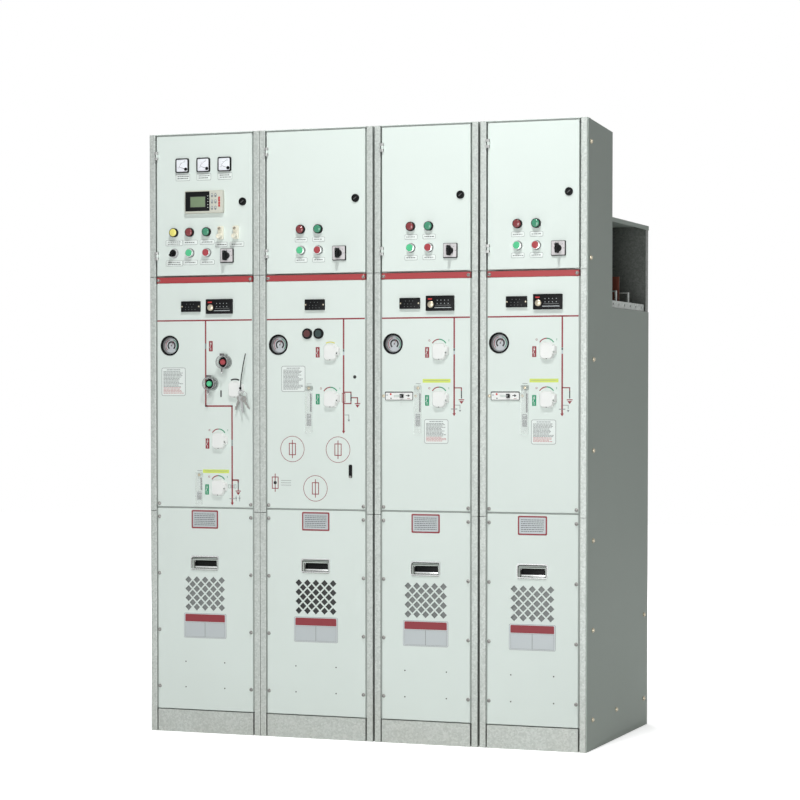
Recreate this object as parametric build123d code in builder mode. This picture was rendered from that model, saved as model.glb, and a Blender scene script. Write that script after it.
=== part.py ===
from build123d import *
import os

# Ring main unit: a row of four joined medium-voltage panels, millimetres.
# X runs along the row, Y from the fronts (low) to the backs (high), Z up from the floor.

# Driving dimensions of the row
wide_panel = 420.0
narrow_panel = 372.0
close_joint = 1.0
open_joint = 7.0
unit_height = 2100.0
unit_depth = 780.0
sheet = 2.0
seat_gap = 0.3

# Levels of the front: the upper parts hang from the roof, the cable room takes the rest
lv_height = 498.0
mechanism_height = 822.0
seam_gap = 2.0
strip_drop = 2.0
strip_tall = 20.0
strip_gap = 0.5
door_rise = 5.0
roof_margin = 7.0
mechanism_rise = 15.0
cover_gap = 5.0
plinth_top = 78.0
plinth_gap = 3.0

# Corner posts, folded from sheet
post_width = 22.0
post_depth = 40.0
post_return = 24.0
post_flange = 26.0
post_bend = 1.6
front_gap = 5.0

# Folded front plates
plate_bend = 3.0
door_gap = 5.5

# Low-voltage boxes and the busbar duct behind them
lv_depth = 300.0
lv_roof_fall = 20.0
duct_drop = 115.0
duct_tall = 306.0
duct_flange = 30.0
lid_lip = 15.0
side_setback = 5.0

# Butt hinges of the low-voltage doors
hinge_rise = 70.0
hinge_drop = 68.0
knuckle_length = 9.5
knuckle_radius = 4.5
pin_radius = 2.0
pin_clearance = 0.3
hinge_inset = 4.0
hinge_reach = 5.0
hinge_arm = 3.0
hinge_root = 12.0

# Round and square fittings of the low-voltage doors, each at its rise from the door's lower edge
lamp_rise = 151.0
button_rise = 79.0
lamp_columns = [-53.0, 12.0]
lamp_radius = 14.5
lamp_reach = 16.0
button_radius = 11.0
button_bezel = 5.0
button_reach = 16.0
barrel_radius = 11.0
barrel_depth = 42.0
cam_offset = 89.0
cam_rise = 67.0
cam_plate = 50.0
cam_plate_reach = 6.0
cam_knob_radius = 19.0
cam_knob_reach = 16.0
cam_grip_length = 44.0
cam_grip_width = 12.0
cam_reach = 36.0
shaft_radius = 5.0
lock_rise = 253.0
lock_inset = 62.0
lock_radius = 12.5
lock_reach = 7.0

# Extra fittings of the breaker panel's door
yellow_lamp_column = -114.0
selector_column = -115.0
selector_radius = 15.0
selector_grip = 26.0
selector_reach = 24.0
meter_columns = [-81.0, 0.0, 81.0]
meter_rise = 384.0
meter_size = 50.0
meter_reach = 9.0
relay_offset = 4.0
relay_rise = 255.0
relay_width = 148.0
relay_tall = 82.0
relay_reach = 14.0
link_columns = [66.0, 124.0]
link_rise = 147.0
link_width = 21.0
link_tall = 46.0
link_reach = 20.0

# Fittings of the mechanism panels: a drop is from the panel's upper edge, a rise from its lower one
gauge_inset = [76.5, 71.0, 68.0, 68.0]
gauge_drop = 218.5
gauge_flange = 33.5
gauge_bore = 31.0
gauge_dial = 28.5
gauge_reach = 2.5
gauge_well = 18.0
volt_offset = [-50.0, -1.0, -56.0, -56.0]
volt_drop = 82.5
volt_width = 73.0
volt_tall = 37.0
volt_reach = 8.0
fault_offset = {0: 60.0, 2: 53.0, 3: 53.0}
fault_drop = 83.5
fault_width = 100.0
fault_tall = 51.0
fault_reach = 10.0
breaker_cap_offset = 118.5
breaker_cap_drop = 372.5
line_cap_offset = 56.0
line_cap_rise = 233.0
earth_cap_offset = 54.0
earth_cap_rise = 70.0
fuse_cap_offset = 57.0
cable_cap_offset = 50.0
upper_cap_drop = 245.5
lower_cap_drop = 406.5
cap_width = 50.0
cap_tall = 58.0
cap_corner = 15.0
cap_rim = 4.0
cap_reach = 13.0
cap_slope = 28.0
cap_lug_offset = 22.0
cap_lug_rise = 3.0
cap_lug_width = 24.0
cap_lug_tall = 32.0
cap_lug_corner = 7.0
cap_lock_hole = 3.5
cap_lock_offset = 26.0
cap_lock_drop = 4.0
cap_spigot = 11.0
cap_spigot_depth = 12.0
press_red_offset = 82.0
press_red_drop = 277.5
press_green_offset = 30.0
press_green_drop = 352.5
press_ring_outer = 22.5
press_ring_inner = 20.5
press_ring_reach = 35.0
press_bezel = 16.0
press_bezel_reach = 13.0
press_radius = 10.0
press_reach = 16.0
guard_clip_width = 15.0
guard_clip_tall = 7.0
guard_overlap = 1.0
guard_hasp_width = 8.0
guard_hasp_tall = 18.0
guard_hasp_sheet = 4.0
guard_hasp_hole = 2.2
flat_button_columns = [-30.0, 12.0]
flat_button_drop = 181.5
flat_button_radius = 17.0
flat_button_reach = 6.0
flap_offset = [-19.5, -24.0, -27.0, -27.0]
breaker_flap_rise = 65.0
breaker_flap_tall = 113.0
switch_flap_drop = 441.5
switch_flap_tall = 163.0
flap_width = 27.0
flap_sheet = 3.0
flap_reach = 8.0
flap_hinge_tall = 17.0
padlock_offset = -95.0
padlock_drop = 395.5
padlock_width = 102.0
padlock_tall = 30.0
padlock_reach = 4.0
padlock_slot = 34.0
padlock_slot_width = 6.0
slider_length = 12.4
slider_head_tall = 13.0
slider_reach = 10.0
slider_pin_radius = 2.2
slider_pin_reach = 22.0
slider_clearance = 0.3
lever_offset = 129.0
lever_rise = 131.0
lever_width = 6.0
lever_tall = 40.0
lever_reach = 9.0

# Cable covers: vents, pull handles
vent_drop = 299.0
vent_pitch = 32.0
vent_side = 17.7
vent_columns = 5
vent_rows = 4
handle_drop = 190.0
handle_width = 108.0
handle_tall = 49.0
handle_corner = 7.0
handle_reach = 4.0
mouth_rim = 3.0
mouth_corner = 4.0
pocket_width = 86.0
pocket_tall = 24.0
pocket_drop = 6.0
pocket_slope_depth = 8.0
pocket_depth = 16.0
pocket_wall = 2.5
pocket_corner = 7.0

# Busbar duct pieces that show at the open ends
end_strip_tall = 24.0
end_strip_inset = 5.0
end_strip_hole = 4.5
end_strip_holes = 6
barrier_width = 160.0
barrier_tall = 113.0
barrier_back = 500.0
barrier_inset = 30.0
barrier_sheet = 4.0
bracket_width = 56.0
bracket_tall = 62.0
bracket_bar = 16.0
bracket_sheet = 4.0
bracket_backs = [430.0, 590.0]
bracket_inset = 22.0

# Worked-out levels and places
upper_seam = unit_height - lv_height
lower_seam = upper_seam - mechanism_height
strip_top = upper_seam - strip_drop
strip_bottom = strip_top - strip_tall
door_bottom = strip_top + door_rise
door_top = unit_height - roof_margin
mechanism_top = strip_bottom - strip_gap
mechanism_bottom = lower_seam + mechanism_rise
cover_top = mechanism_bottom - cover_gap
cover_bottom = plinth_top + plinth_gap
duct_floor = upper_seam - duct_drop
duct_top = duct_floor + duct_tall
hinge_heights = [door_bottom + hinge_rise, door_top - hinge_drop]
lamp_height = door_bottom + lamp_rise
button_height = door_bottom + button_rise
cam_height = door_bottom + cam_rise
lock_height = door_bottom + lock_rise
meter_height = door_bottom + meter_rise
relay_height = door_bottom + relay_rise
link_height = door_bottom + link_rise
gauge_height = mechanism_top - gauge_drop
volt_height = mechanism_top - volt_drop
fault_height = mechanism_top - fault_drop
flat_button_height = mechanism_top - flat_button_drop
padlock_height = mechanism_top - padlock_drop
lever_height = mechanism_bottom + lever_rise
upper_cap = mechanism_top - upper_cap_drop
lower_cap = mechanism_top - lower_cap_drop
cable_caps = [("a", cable_cap_offset, upper_cap), ("b", cable_cap_offset, lower_cap)]
cap_places = {
    0: [
        ("a", breaker_cap_offset, mechanism_top - breaker_cap_drop),
        ("b", line_cap_offset, mechanism_bottom + line_cap_rise),
        ("c", earth_cap_offset, mechanism_bottom + earth_cap_rise),
    ],
    1: [("a", fuse_cap_offset, upper_cap), ("b", fuse_cap_offset, lower_cap)],
    2: cable_caps,
    3: cable_caps,
}
press_places = {
    "red": (press_red_offset, mechanism_top - press_red_drop),
    "green": (press_green_offset, mechanism_top - press_green_drop),
}
switch_flap = (mechanism_top - switch_flap_drop, switch_flap_tall)
flap_places = [(mechanism_bottom + breaker_flap_rise, breaker_flap_tall)] + [switch_flap] * 3
vent_height = cover_top - vent_drop
handle_height = cover_top - handle_drop
panel_widths = [wide_panel, wide_panel, narrow_panel, narrow_panel]
joint_widths = [close_joint, open_joint, open_joint]
row_width = sum(panel_widths) + sum(joint_widths)
left_sides = [-row_width / 2 + sum(panel_widths[:i]) + sum(joint_widths[:i]) for i in range(4)]
front = -(unit_depth - cam_reach) / 2
rear = front + unit_depth
plate_inset = post_width + front_gap
plate_depth = post_return - sheet - seat_gap
door_depth = post_return - sheet - door_gap
front_plane = Plane.XZ.offset(-front)

os.makedirs("parts", exist_ok=True)


def save(piece, name):
    piece.part.label = name
    export_step(piece.part, f"parts/{name}.step")


def centre(panel):
    return left_sides[panel] + panel_widths[panel] / 2


# Corner posts: a folded sheet section with a flange that the front plates seat on
def post_path(edge, inward):
    corners = [
        (edge + inward * sheet / 2, front + post_depth),
        (edge + inward * sheet / 2, front + sheet / 2),
        (edge + inward * (post_width - sheet / 2), front + sheet / 2),
        (edge + inward * (post_width - sheet / 2), front + post_return - sheet / 2),
        (edge + inward * (post_width + post_flange), front + post_return - sheet / 2),
    ]
    return FilletPolyline(*corners, radius=post_bend)


post_levels = {
    "posts_lower": (0, lower_seam - seam_gap / 2),
    "posts_middle": (lower_seam + seam_gap / 2, upper_seam - seam_gap / 2),
    "posts_upper": (upper_seam + seam_gap / 2, unit_height),
}
for name, (bottom, top) in post_levels.items():
    with BuildPart() as posts:
        for left, width in zip(left_sides, panel_widths):
            for edge, inward in ((left, 1), (left + width, -1)):
                with BuildSketch(Plane.XY.offset(bottom)):
                    with BuildLine():
                        post_path(edge, inward)
                    trace(line_width=sheet)
                extrude(amount=top - bottom)
    save(posts, name)

# Closed housings: the mechanism, tank and cable room of each panel, one L-shaped block
with BuildPart() as housings:
    for left, width in zip(left_sides, panel_widths):
        with BuildSketch(Plane.YZ.offset(left)):
            with BuildLine():
                Polyline(
                    (front + post_depth, 0),
                    (rear - sheet, 0),
                    (rear - sheet, duct_floor - sheet),
                    (front + lv_depth, duct_floor - sheet),
                    (front + lv_depth, upper_seam),
                    (front + post_depth, upper_seam),
                    close=True,
                )
            make_face()
        extrude(amount=width)
save(housings, "housings")

# Low-voltage boxes: open at the front, with a roof that falls to the rear
for panel, (left, width) in enumerate(zip(left_sides, panel_widths)):
    box_front = front + post_return
    box_rear = front + lv_depth
    fall = lv_roof_fall / lv_depth
    with BuildPart() as lv_box:
        with BuildSketch(Plane.YZ.offset(left + sheet)):
            with BuildLine():
                Polyline(
                    (box_front, upper_seam),
                    (box_rear, upper_seam),
                    (box_rear, unit_height - lv_roof_fall),
                    (box_front, unit_height - fall * post_return),
                    close=True,
                )
            make_face()
        extrude(amount=width - 2 * sheet)
        mouth = lv_box.faces().sort_by(Axis.Y)[0]
        offset(amount=-sheet, openings=mouth)
    save(lv_box, f"lv_box_{panel + 1}")


def folded_plate(left, width, bottom, top, depth):
    # A plate folded back on all four sides, open at the rear
    middle = left + width / 2
    plate_width = width - 2 * plate_inset
    with BuildSketch(front_plane) as outline:
        with Locations((middle, (bottom + top) / 2)):
            Rectangle(plate_width, top - bottom)
    extrude(outline.sketch, amount=-depth)


def disc(x, z, radius, start, end, mode=Mode.ADD):
    # A round piece from one distance in front of the row to another
    with BuildSketch(front_plane.offset(start)) as outline:
        with Locations((x, z)):
            Circle(radius)
    extrude(outline.sketch, amount=end - start, mode=mode)


def block(x, z, width, height, start, end, corner=0.0, mode=Mode.ADD, slope=0.0):
    with BuildSketch(front_plane.offset(start)) as outline:
        with Locations((x, z)):
            if corner:
                RectangleRounded(width, height, corner)
            else:
                Rectangle(width, height)
    extrude(outline.sketch, amount=end - start, taper=slope, mode=mode)


def round_front_edges(piece, radius):
    face = piece.faces().sort_by(Axis.Y)[0]
    fillet(face.edges(), radius)


def hollow_plate(piece):
    back = piece.faces().sort_by(Axis.Y)[-1]
    offset(amount=-sheet, openings=back)


# Low-voltage doors: folded pans with the moving knuckles of their butt hinges
def door_holes(panel):
    middle = centre(panel)
    holes = [(middle + x, z) for x in lamp_columns for z in (lamp_height, button_height)]
    if panel == 0:
        holes.append((middle + yellow_lamp_column, lamp_height))
    return holes


for panel, (left, width) in enumerate(zip(left_sides, panel_widths)):
    hinge_x = left + plate_inset + hinge_inset
    hinge_y = front - hinge_reach
    with BuildPart() as lv_door:
        folded_plate(left, width, door_bottom, door_top, door_depth)
        round_front_edges(lv_door, plate_bend)
        hollow_plate(lv_door)
        for x, z in door_holes(panel):
            disc(x, z, barrel_radius + seat_gap, -door_depth, 1, Mode.SUBTRACT)
        shaft_holes = [(centre(panel) + cam_offset, cam_height)]
        if panel == 0:
            shaft_holes.append((centre(panel) + selector_column, button_height))
        for x, z in shaft_holes:
            disc(x, z, shaft_radius + seat_gap, -door_depth, 1, Mode.SUBTRACT)
        for height in hinge_heights:
            with BuildSketch(Plane.XY.offset(height - knuckle_length / 2)):
                with Locations((hinge_x, hinge_y)):
                    Circle(knuckle_radius)
                with Locations((hinge_x + knuckle_radius / 2, front - hinge_reach / 2)):
                    Rectangle(knuckle_radius, hinge_reach)
            extrude(amount=knuckle_length)
            with BuildSketch(Plane.XY.offset(height - knuckle_length)):
                with Locations((hinge_x, hinge_y)):
                    Circle(pin_radius + pin_clearance)
            extrude(amount=2 * knuckle_length, mode=Mode.SUBTRACT)
    save(lv_door, f"lv_door_{panel + 1}")

# Fixed halves of the butt hinges: two arms out of the door gap, joined by the pin
with BuildPart() as hinge_arms:
    for left in left_sides:
        hinge_x = left + plate_inset + hinge_inset
        hinge_y = front - hinge_reach
        for height in hinge_heights:
            low = height - knuckle_length * 1.5 - seat_gap
            high = height + knuckle_length / 2 + seat_gap
            for bottom in (low, high):
                with BuildSketch(Plane.XY.offset(bottom)):
                    with Locations((hinge_x, hinge_y)):
                        Circle(knuckle_radius)
                    with BuildLine():
                        Polyline(
                            (left + post_width, front + hinge_root),
                            (left + post_width, hinge_y - knuckle_radius),
                            (hinge_x, hinge_y - knuckle_radius),
                            (hinge_x, hinge_y + hinge_arm - knuckle_radius),
                            (left + post_width + hinge_arm, hinge_y + hinge_arm - knuckle_radius),
                            (left + post_width + hinge_arm, front + hinge_root),
                            close=True,
                        )
                    make_face()
                extrude(amount=knuckle_length)
            with BuildSketch(Plane.XY.offset(low)):
                with Locations((hinge_x, hinge_y)):
                    Circle(pin_radius)
            extrude(amount=high + knuckle_length - low)
save(hinge_arms, "hinge_arms")

# Instruments that ride on each low-voltage door
for panel, (left, width) in enumerate(zip(left_sides, panel_widths)):
    middle = centre(panel)
    with BuildPart() as door_instruments:
        lamp_xs = [middle + x for x in lamp_columns]
        if panel == 0:
            lamp_xs.append(middle + yellow_lamp_column)
        for x in lamp_xs:
            disc(x, lamp_height, lamp_radius, 0, lamp_reach)
            disc(x, lamp_height, barrel_radius, -barrel_depth, 0)
        for x in lamp_columns:
            disc(middle + x, button_height, lamp_radius, 0, button_bezel)
            disc(middle + x, button_height, button_radius, 0, button_reach)
            disc(middle + x, button_height, barrel_radius, -barrel_depth, 0)
        block(middle + cam_offset, cam_height, cam_plate, cam_plate, 0, cam_plate_reach, plate_bend)
        disc(middle + cam_offset, cam_height, shaft_radius + seat_gap, -1, cam_plate_reach + 1, Mode.SUBTRACT)
        disc(left + width - lock_inset, lock_height, lock_radius, 0, lock_reach)
        if panel == 0:
            for x in meter_columns:
                block(middle + x, meter_height, meter_size, meter_size, 0, meter_reach, plate_bend)
            block(middle + relay_offset, relay_height, relay_width, relay_tall, 0, relay_reach, plate_bend)
            for x in link_columns:
                block(middle + x, link_height, link_width, link_tall, 0, link_reach, plate_bend)
    save(door_instruments, f"door_instruments_{panel + 1}")

# Turning handles: a cam switch on every door and a selector on the first
for panel in range(4):
    x = centre(panel) + cam_offset
    with BuildPart() as cam_handle:
        disc(x, cam_height, shaft_radius, -door_depth, cam_plate_reach + seat_gap)
        disc(x, cam_height, cam_knob_radius, cam_plate_reach + seat_gap, cam_knob_reach)
        block(x, cam_height, cam_grip_width, cam_grip_length, cam_knob_reach, cam_reach, plate_bend)
    save(cam_handle, f"cam_handle_{panel + 1}")

with BuildPart() as selector_handle:
    x = centre(0) + selector_column
    disc(x, button_height, shaft_radius, -door_depth, seat_gap)
    disc(x, button_height, selector_radius, seat_gap, button_reach)
    block(x, button_height, cam_grip_width, selector_grip, button_reach, selector_reach, plate_bend)
save(selector_handle, "selector_handle")

# Title strips between the doors and the mechanism panels
with BuildPart() as title_strips:
    for left, width in zip(left_sides, panel_widths):
        folded_plate(left, width, strip_bottom, strip_top, plate_depth)
save(title_strips, "title_strips")

with BuildPart() as roof_trims:
    for left, width in zip(left_sides, panel_widths):
        with BuildSketch(Plane.XY.offset(unit_height - sheet)):
            with Locations((left + width / 2, front + plate_depth / 2)):
                Rectangle(width - 2 * post_width - 2 * seat_gap, plate_depth)
        extrude(amount=sheet)
save(roof_trims, "roof_trims")

# Mechanism panels: folded plates with the holes that the turning and pressed pieces need
mechanism_plates = []
for panel, (left, width) in enumerate(zip(left_sides, panel_widths)):
    middle = centre(panel)
    with BuildPart() as mechanism_panel:
        folded_plate(left, width, mechanism_bottom, mechanism_top, plate_depth)
        round_front_edges(mechanism_panel, plate_bend)
        hollow_plate(mechanism_panel)
        disc(left + gauge_inset[panel], gauge_height, gauge_bore, -plate_depth, 1, Mode.SUBTRACT)
        for letter, x, z in cap_places[panel]:
            disc(middle + x, z, cap_spigot + seat_gap, -plate_depth, 1, Mode.SUBTRACT)
        if panel == 0:
            for x, z in press_places.values():
                disc(middle + x, z, press_radius + seat_gap, -plate_depth, 1, Mode.SUBTRACT)
    mechanism_plates.append(mechanism_panel.part)
with BuildPart() as mechanism_panels:
    add(mechanism_plates)
save(mechanism_panels, "mechanism_panels")

# Pressure gauges, sunk in the mechanism panels
with BuildPart() as gas_gauges:
    for panel in range(4):
        x = left_sides[panel] + gauge_inset[panel]
        disc(x, gauge_height, gauge_flange, 0, gauge_reach)
        disc(x, gauge_height, gauge_bore - seat_gap, -plate_depth, 0)
        disc(x, gauge_height, gauge_dial, -gauge_well, gauge_reach + 1, Mode.SUBTRACT)
save(gas_gauges, "gas_gauges")

with BuildPart() as voltage_indicators:
    for panel in range(4):
        block(centre(panel) + volt_offset[panel], volt_height, volt_width, volt_tall, 0, volt_reach, plate_bend)
save(voltage_indicators, "voltage_indicators")

with BuildPart() as fault_indicators:
    for panel, x in fault_offset.items():
        block(centre(panel) + x, fault_height, fault_width, fault_tall, 0, fault_reach, plate_bend)
save(fault_indicators, "fault_indicators")

# Turning caps over the operating shafts, each with a padlock lug
for panel, caps in cap_places.items():
    for letter, offset_x, z in caps:
        with BuildPart() as operating_cap:
            x = centre(panel) + offset_x
            rim_end = seat_gap + cap_rim
            block(x, z, cap_width, cap_tall, seat_gap, rim_end, cap_corner)
            block(x, z, cap_width, cap_tall, rim_end, cap_reach, cap_corner, slope=cap_slope)
            lug = (x + cap_lug_offset, z + cap_lug_rise, cap_lug_width, cap_lug_tall)
            block(*lug, seat_gap, rim_end, cap_lug_corner)
            block(*lug, rim_end, cap_reach, cap_lug_corner, slope=cap_slope)
            disc(x + cap_lock_offset, z - cap_lock_drop, cap_lock_hole, 0, cap_reach + 1, Mode.SUBTRACT)
            disc(x, z, cap_spigot, -cap_spigot_depth, seat_gap)
        save(operating_cap, f"operating_cap_{panel + 1}{letter}")

# Breaker push buttons and their clear guard rings, each with a hinge clip above and a hasp below
with BuildPart() as press_bezels:
    for x, z in press_places.values():
        disc(centre(0) + x, z, press_bezel, 0, press_bezel_reach)
        disc(centre(0) + x, z, press_radius + seat_gap, -1, press_bezel_reach + 1, Mode.SUBTRACT)
save(press_bezels, "press_bezels")

with BuildPart() as press_guards:
    for x, z in press_places.values():
        disc(centre(0) + x, z, press_ring_outer, 0, press_ring_reach)
        disc(centre(0) + x, z, press_ring_inner, -1, press_ring_reach + 1, Mode.SUBTRACT)
        clip_z = z + press_ring_outer + guard_clip_tall / 2 - guard_overlap
        block(centre(0) + x, clip_z, guard_clip_width, guard_clip_tall, 0, press_ring_reach, plate_bend / 2)
        hasp_z = z - press_ring_outer - guard_hasp_tall / 2 + guard_overlap
        hasp_back = press_ring_reach - guard_hasp_sheet
        block(centre(0) + x, hasp_z, guard_hasp_width, guard_hasp_tall, hasp_back, press_ring_reach, plate_bend / 2)
        hole_z = hasp_z - guard_hasp_tall / 2 + guard_hasp_width / 2
        disc(centre(0) + x, hole_z, guard_hasp_hole, hasp_back - 1, press_ring_reach + 1, Mode.SUBTRACT)
save(press_guards, "press_guards")

for colour, (x, z) in press_places.items():
    with BuildPart() as press_button:
        disc(centre(0) + x, z, press_radius, -plate_depth, press_reach)
    save(press_button, f"press_button_{colour}")

with BuildPart() as trip_fittings:
    for x in flat_button_columns:
        disc(centre(1) + x, flat_button_height, flat_button_radius, 0, flat_button_reach)
    block(centre(1) + lever_offset, lever_height, lever_width, lever_tall, 0, lever_reach)
save(trip_fittings, "trip_fittings")

# Clear flaps over the position windows, each hung from a hinge block
with BuildPart() as window_strips:
    for panel, (z, tall) in enumerate(flap_places):
        x = centre(panel) + flap_offset[panel]
        block(x, z, flap_width, tall, flap_reach - flap_sheet, flap_reach, flap_sheet)
        block(x, z + (tall - flap_hinge_tall) / 2, flap_width, flap_hinge_tall, 0, flap_reach, flap_sheet)
save(window_strips, "window_strips")

# Padlock plates of the cable switches, each with a sliding bolt
with BuildPart() as padlock_plates:
    for panel in (2, 3):
        x = centre(panel) + padlock_offset
        block(x, padlock_height, padlock_width, padlock_tall, 0, padlock_reach, plate_bend)
        block(x, padlock_height, padlock_slot, padlock_slot_width, -1, padlock_reach + 1, 0, Mode.SUBTRACT)
save(padlock_plates, "padlock_plates")

for panel in (2, 3):
    with BuildPart() as padlock_slider:
        x = centre(panel) + padlock_offset + padlock_slot / 2 - slider_length / 2 - slider_clearance
        tall = padlock_slot_width - 2 * slider_clearance
        head_back = padlock_reach + seat_gap
        block(x, padlock_height, slider_length, tall, slider_clearance, head_back)
        block(x, padlock_height, slider_length, slider_head_tall, head_back, slider_reach)
        disc(x, padlock_height, slider_pin_radius, slider_reach, slider_pin_reach)
    save(padlock_slider, f"padlock_slider_{panel + 1}")

# Cable covers: folded plates with a lattice of square vents and a cut-out for the handle
cup_width = pocket_width + 2 * pocket_wall
cup_tall = pocket_tall + 2 * pocket_wall
pocket_height = handle_height - pocket_drop
cable_plates = []
for panel, (left, width) in enumerate(zip(left_sides, panel_widths)):
    middle = centre(panel)
    with BuildPart() as cable_cover:
        folded_plate(left, width, cover_bottom, cover_top, plate_depth)
        round_front_edges(cable_cover, plate_bend)
        hollow_plate(cable_cover)
        with BuildSketch(front_plane.offset(-sheet)):
            with Locations((middle, pocket_height)):
                Rectangle(cup_width + 2 * seat_gap, cup_tall + 2 * seat_gap)
            with Locations((middle, vent_height)):
                with GridLocations(vent_pitch, vent_pitch, vent_columns, vent_rows):
                    Rectangle(vent_side, vent_side, rotation=45)
                with GridLocations(vent_pitch, vent_pitch, vent_columns - 1, vent_rows - 1):
                    Rectangle(vent_side, vent_side, rotation=45)
        extrude(amount=sheet, mode=Mode.SUBTRACT)
    cable_plates.append(cable_cover.part)
with BuildPart() as cable_covers:
    add(cable_plates)
save(cable_covers, "cable_covers")

with BuildPart() as pull_handles:
    for panel in range(4):
        x = centre(panel)
        block(x, handle_height, handle_width, handle_tall, 0, handle_reach, handle_corner)
        block(x, pocket_height, cup_width, cup_tall, -pocket_depth - pocket_wall, 0, pocket_corner)
        with BuildSketch(front_plane.offset(handle_reach)) as mouth:
            with Locations((x, handle_height)):
                RectangleRounded(handle_width - 2 * mouth_rim, handle_tall - 2 * mouth_rim, mouth_corner)
        with BuildSketch(front_plane.offset(-pocket_slope_depth)) as throat:
            with Locations((x, pocket_height)):
                RectangleRounded(pocket_width, pocket_tall, pocket_corner)
        loft([mouth.sketch, throat.sketch], mode=Mode.SUBTRACT)
        block(x, pocket_height, pocket_width, pocket_tall, -pocket_depth, -pocket_slope_depth, pocket_corner,
              Mode.SUBTRACT)
save(pull_handles, "pull_handles")

# Galvanised plinth plates at the floor
with BuildPart() as plinth_fronts:
    for left, width in zip(left_sides, panel_widths):
        folded_plate(left, width, 0, plinth_top, plate_depth)
save(plinth_fronts, "plinth_fronts")

# Side covers, cut to the step between the low-voltage boxes and the busbar duct
row_left = left_sides[0]
row_right = row_left + row_width
side_fall = lv_roof_fall * (lv_depth - side_setback) / lv_depth
for name, x in (("side_cover_left", row_left - sheet), ("side_cover_right", row_right)):
    with BuildPart() as side_cover:
        with BuildSketch(Plane.YZ.offset(x)):
            with BuildLine():
                Polyline(
                    (front + side_setback, 0),
                    (rear, 0),
                    (rear, duct_floor - sheet - seat_gap),
                    (front + lv_depth, duct_floor - sheet - seat_gap),
                    (front + lv_depth, unit_height - lv_roof_fall),
                    (front + side_setback, unit_height - lv_roof_fall + side_fall),
                    close=True,
                )
            make_face()
        extrude(amount=sheet)
    save(side_cover, name)

# Rear plates of the cable rooms and tanks
with BuildPart() as rear_panels:
    for left, width in zip(left_sides, panel_widths):
        rear_top = duct_floor - sheet - seat_gap
        with BuildSketch(Plane.XZ.offset(-rear)):
            with Locations((left + width / 2, rear_top / 2)):
                Rectangle(width - sheet, rear_top)
        extrude(amount=sheet)
save(rear_panels, "rear_panels")

# Busbar duct: a floor and back wall bent from one sheet, with a flange at each end
with BuildPart() as busbar_tray:
    with BuildSketch(Plane.YZ.offset(row_left)):
        with BuildLine():
            Polyline(
                (front + lv_depth, duct_floor - sheet),
                (rear, duct_floor - sheet),
                (rear, duct_top - sheet),
                (rear - sheet, duct_top - sheet),
                (rear - sheet, duct_floor),
                (front + lv_depth, duct_floor),
                close=True,
            )
        make_face()
    extrude(amount=row_width)
    for x in (row_left, row_right - sheet):
        with BuildSketch(Plane.YZ.offset(x)):
            with Locations((rear - sheet - duct_flange / 2, (duct_floor + duct_top - sheet) / 2)):
                Rectangle(duct_flange, duct_top - sheet - duct_floor)
        extrude(amount=sheet)
save(busbar_tray, "busbar_tray")

with BuildPart() as busbar_lid:
    with BuildSketch(Plane.XZ.offset(-rear)):
        with BuildLine():
            Polyline(
                (row_left - sheet, duct_top - lid_lip),
                (row_left - sheet, duct_top),
                (row_right + sheet, duct_top),
                (row_right + sheet, duct_top - lid_lip),
                (row_right, duct_top - lid_lip),
                (row_right, duct_top - sheet),
                (row_left, duct_top - sheet),
                (row_left, duct_top - lid_lip),
                close=True,
            )
        make_face()
    extrude(amount=unit_depth - lv_depth)
save(busbar_lid, "busbar_lid")

# Pieces that show through the open ends of the duct
with BuildPart() as end_strips:
    for x in (row_left + end_strip_inset, row_right - end_strip_inset - sheet):
        strip_length = unit_depth - lv_depth - sheet - duct_flange - end_strip_inset
        with BuildSketch(Plane.YZ.offset(x)):
            with Locations((front + lv_depth + strip_length / 2, duct_floor + end_strip_tall / 2)):
                Rectangle(strip_length, end_strip_tall)
                with GridLocations(strip_length / end_strip_holes, 0, end_strip_holes, 1):
                    Circle(end_strip_hole, mode=Mode.SUBTRACT)
        extrude(amount=sheet)
save(end_strips, "end_strips")

with BuildPart() as busbar_barriers:
    for end, inward in ((row_left, 1), (row_right, -1)):
        with BuildSketch(Plane.XZ.offset(-front - barrier_back - barrier_sheet)):
            with Locations((end + inward * (barrier_inset + barrier_width / 2), duct_floor + barrier_tall / 2)):
                Rectangle(barrier_width, barrier_tall)
        extrude(amount=barrier_sheet)
save(busbar_barriers, "busbar_barriers")

with BuildPart() as busbar_brackets:
    for end, inward in ((row_left, 1), (row_right, -1)):
        for back in bracket_backs:
            x = end + inward * (bracket_inset + bracket_width / 2)
            with BuildSketch(Plane.XZ.offset(-front - back - bracket_bar)):
                with Locations((x, duct_floor + bracket_tall / 2)):
                    Rectangle(bracket_width, bracket_tall)
                with Locations((x, duct_floor + (bracket_tall - bracket_sheet) / 2)):
                    Rectangle(
                        bracket_width - 2 * bracket_sheet,
                        bracket_tall - bracket_sheet,
                        mode=Mode.SUBTRACT,
                    )
            extrude(amount=bracket_bar)
save(busbar_brackets, "busbar_brackets")
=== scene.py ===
# %% [markdown]
# # A ring main unit, dressed for its picture
# Four medium-voltage cubicles stand in a row: one with a circuit breaker, one with fuses and two with
# cable switches. The solids come from the frame. This lesson gives them zinc, powder coat and plastic,
# and adds the small things that make switchgear readable: lamps, dials, screws, and the one-line
# diagram that shows an operator what is live.

# %% Load the frame
import math
import random

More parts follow.
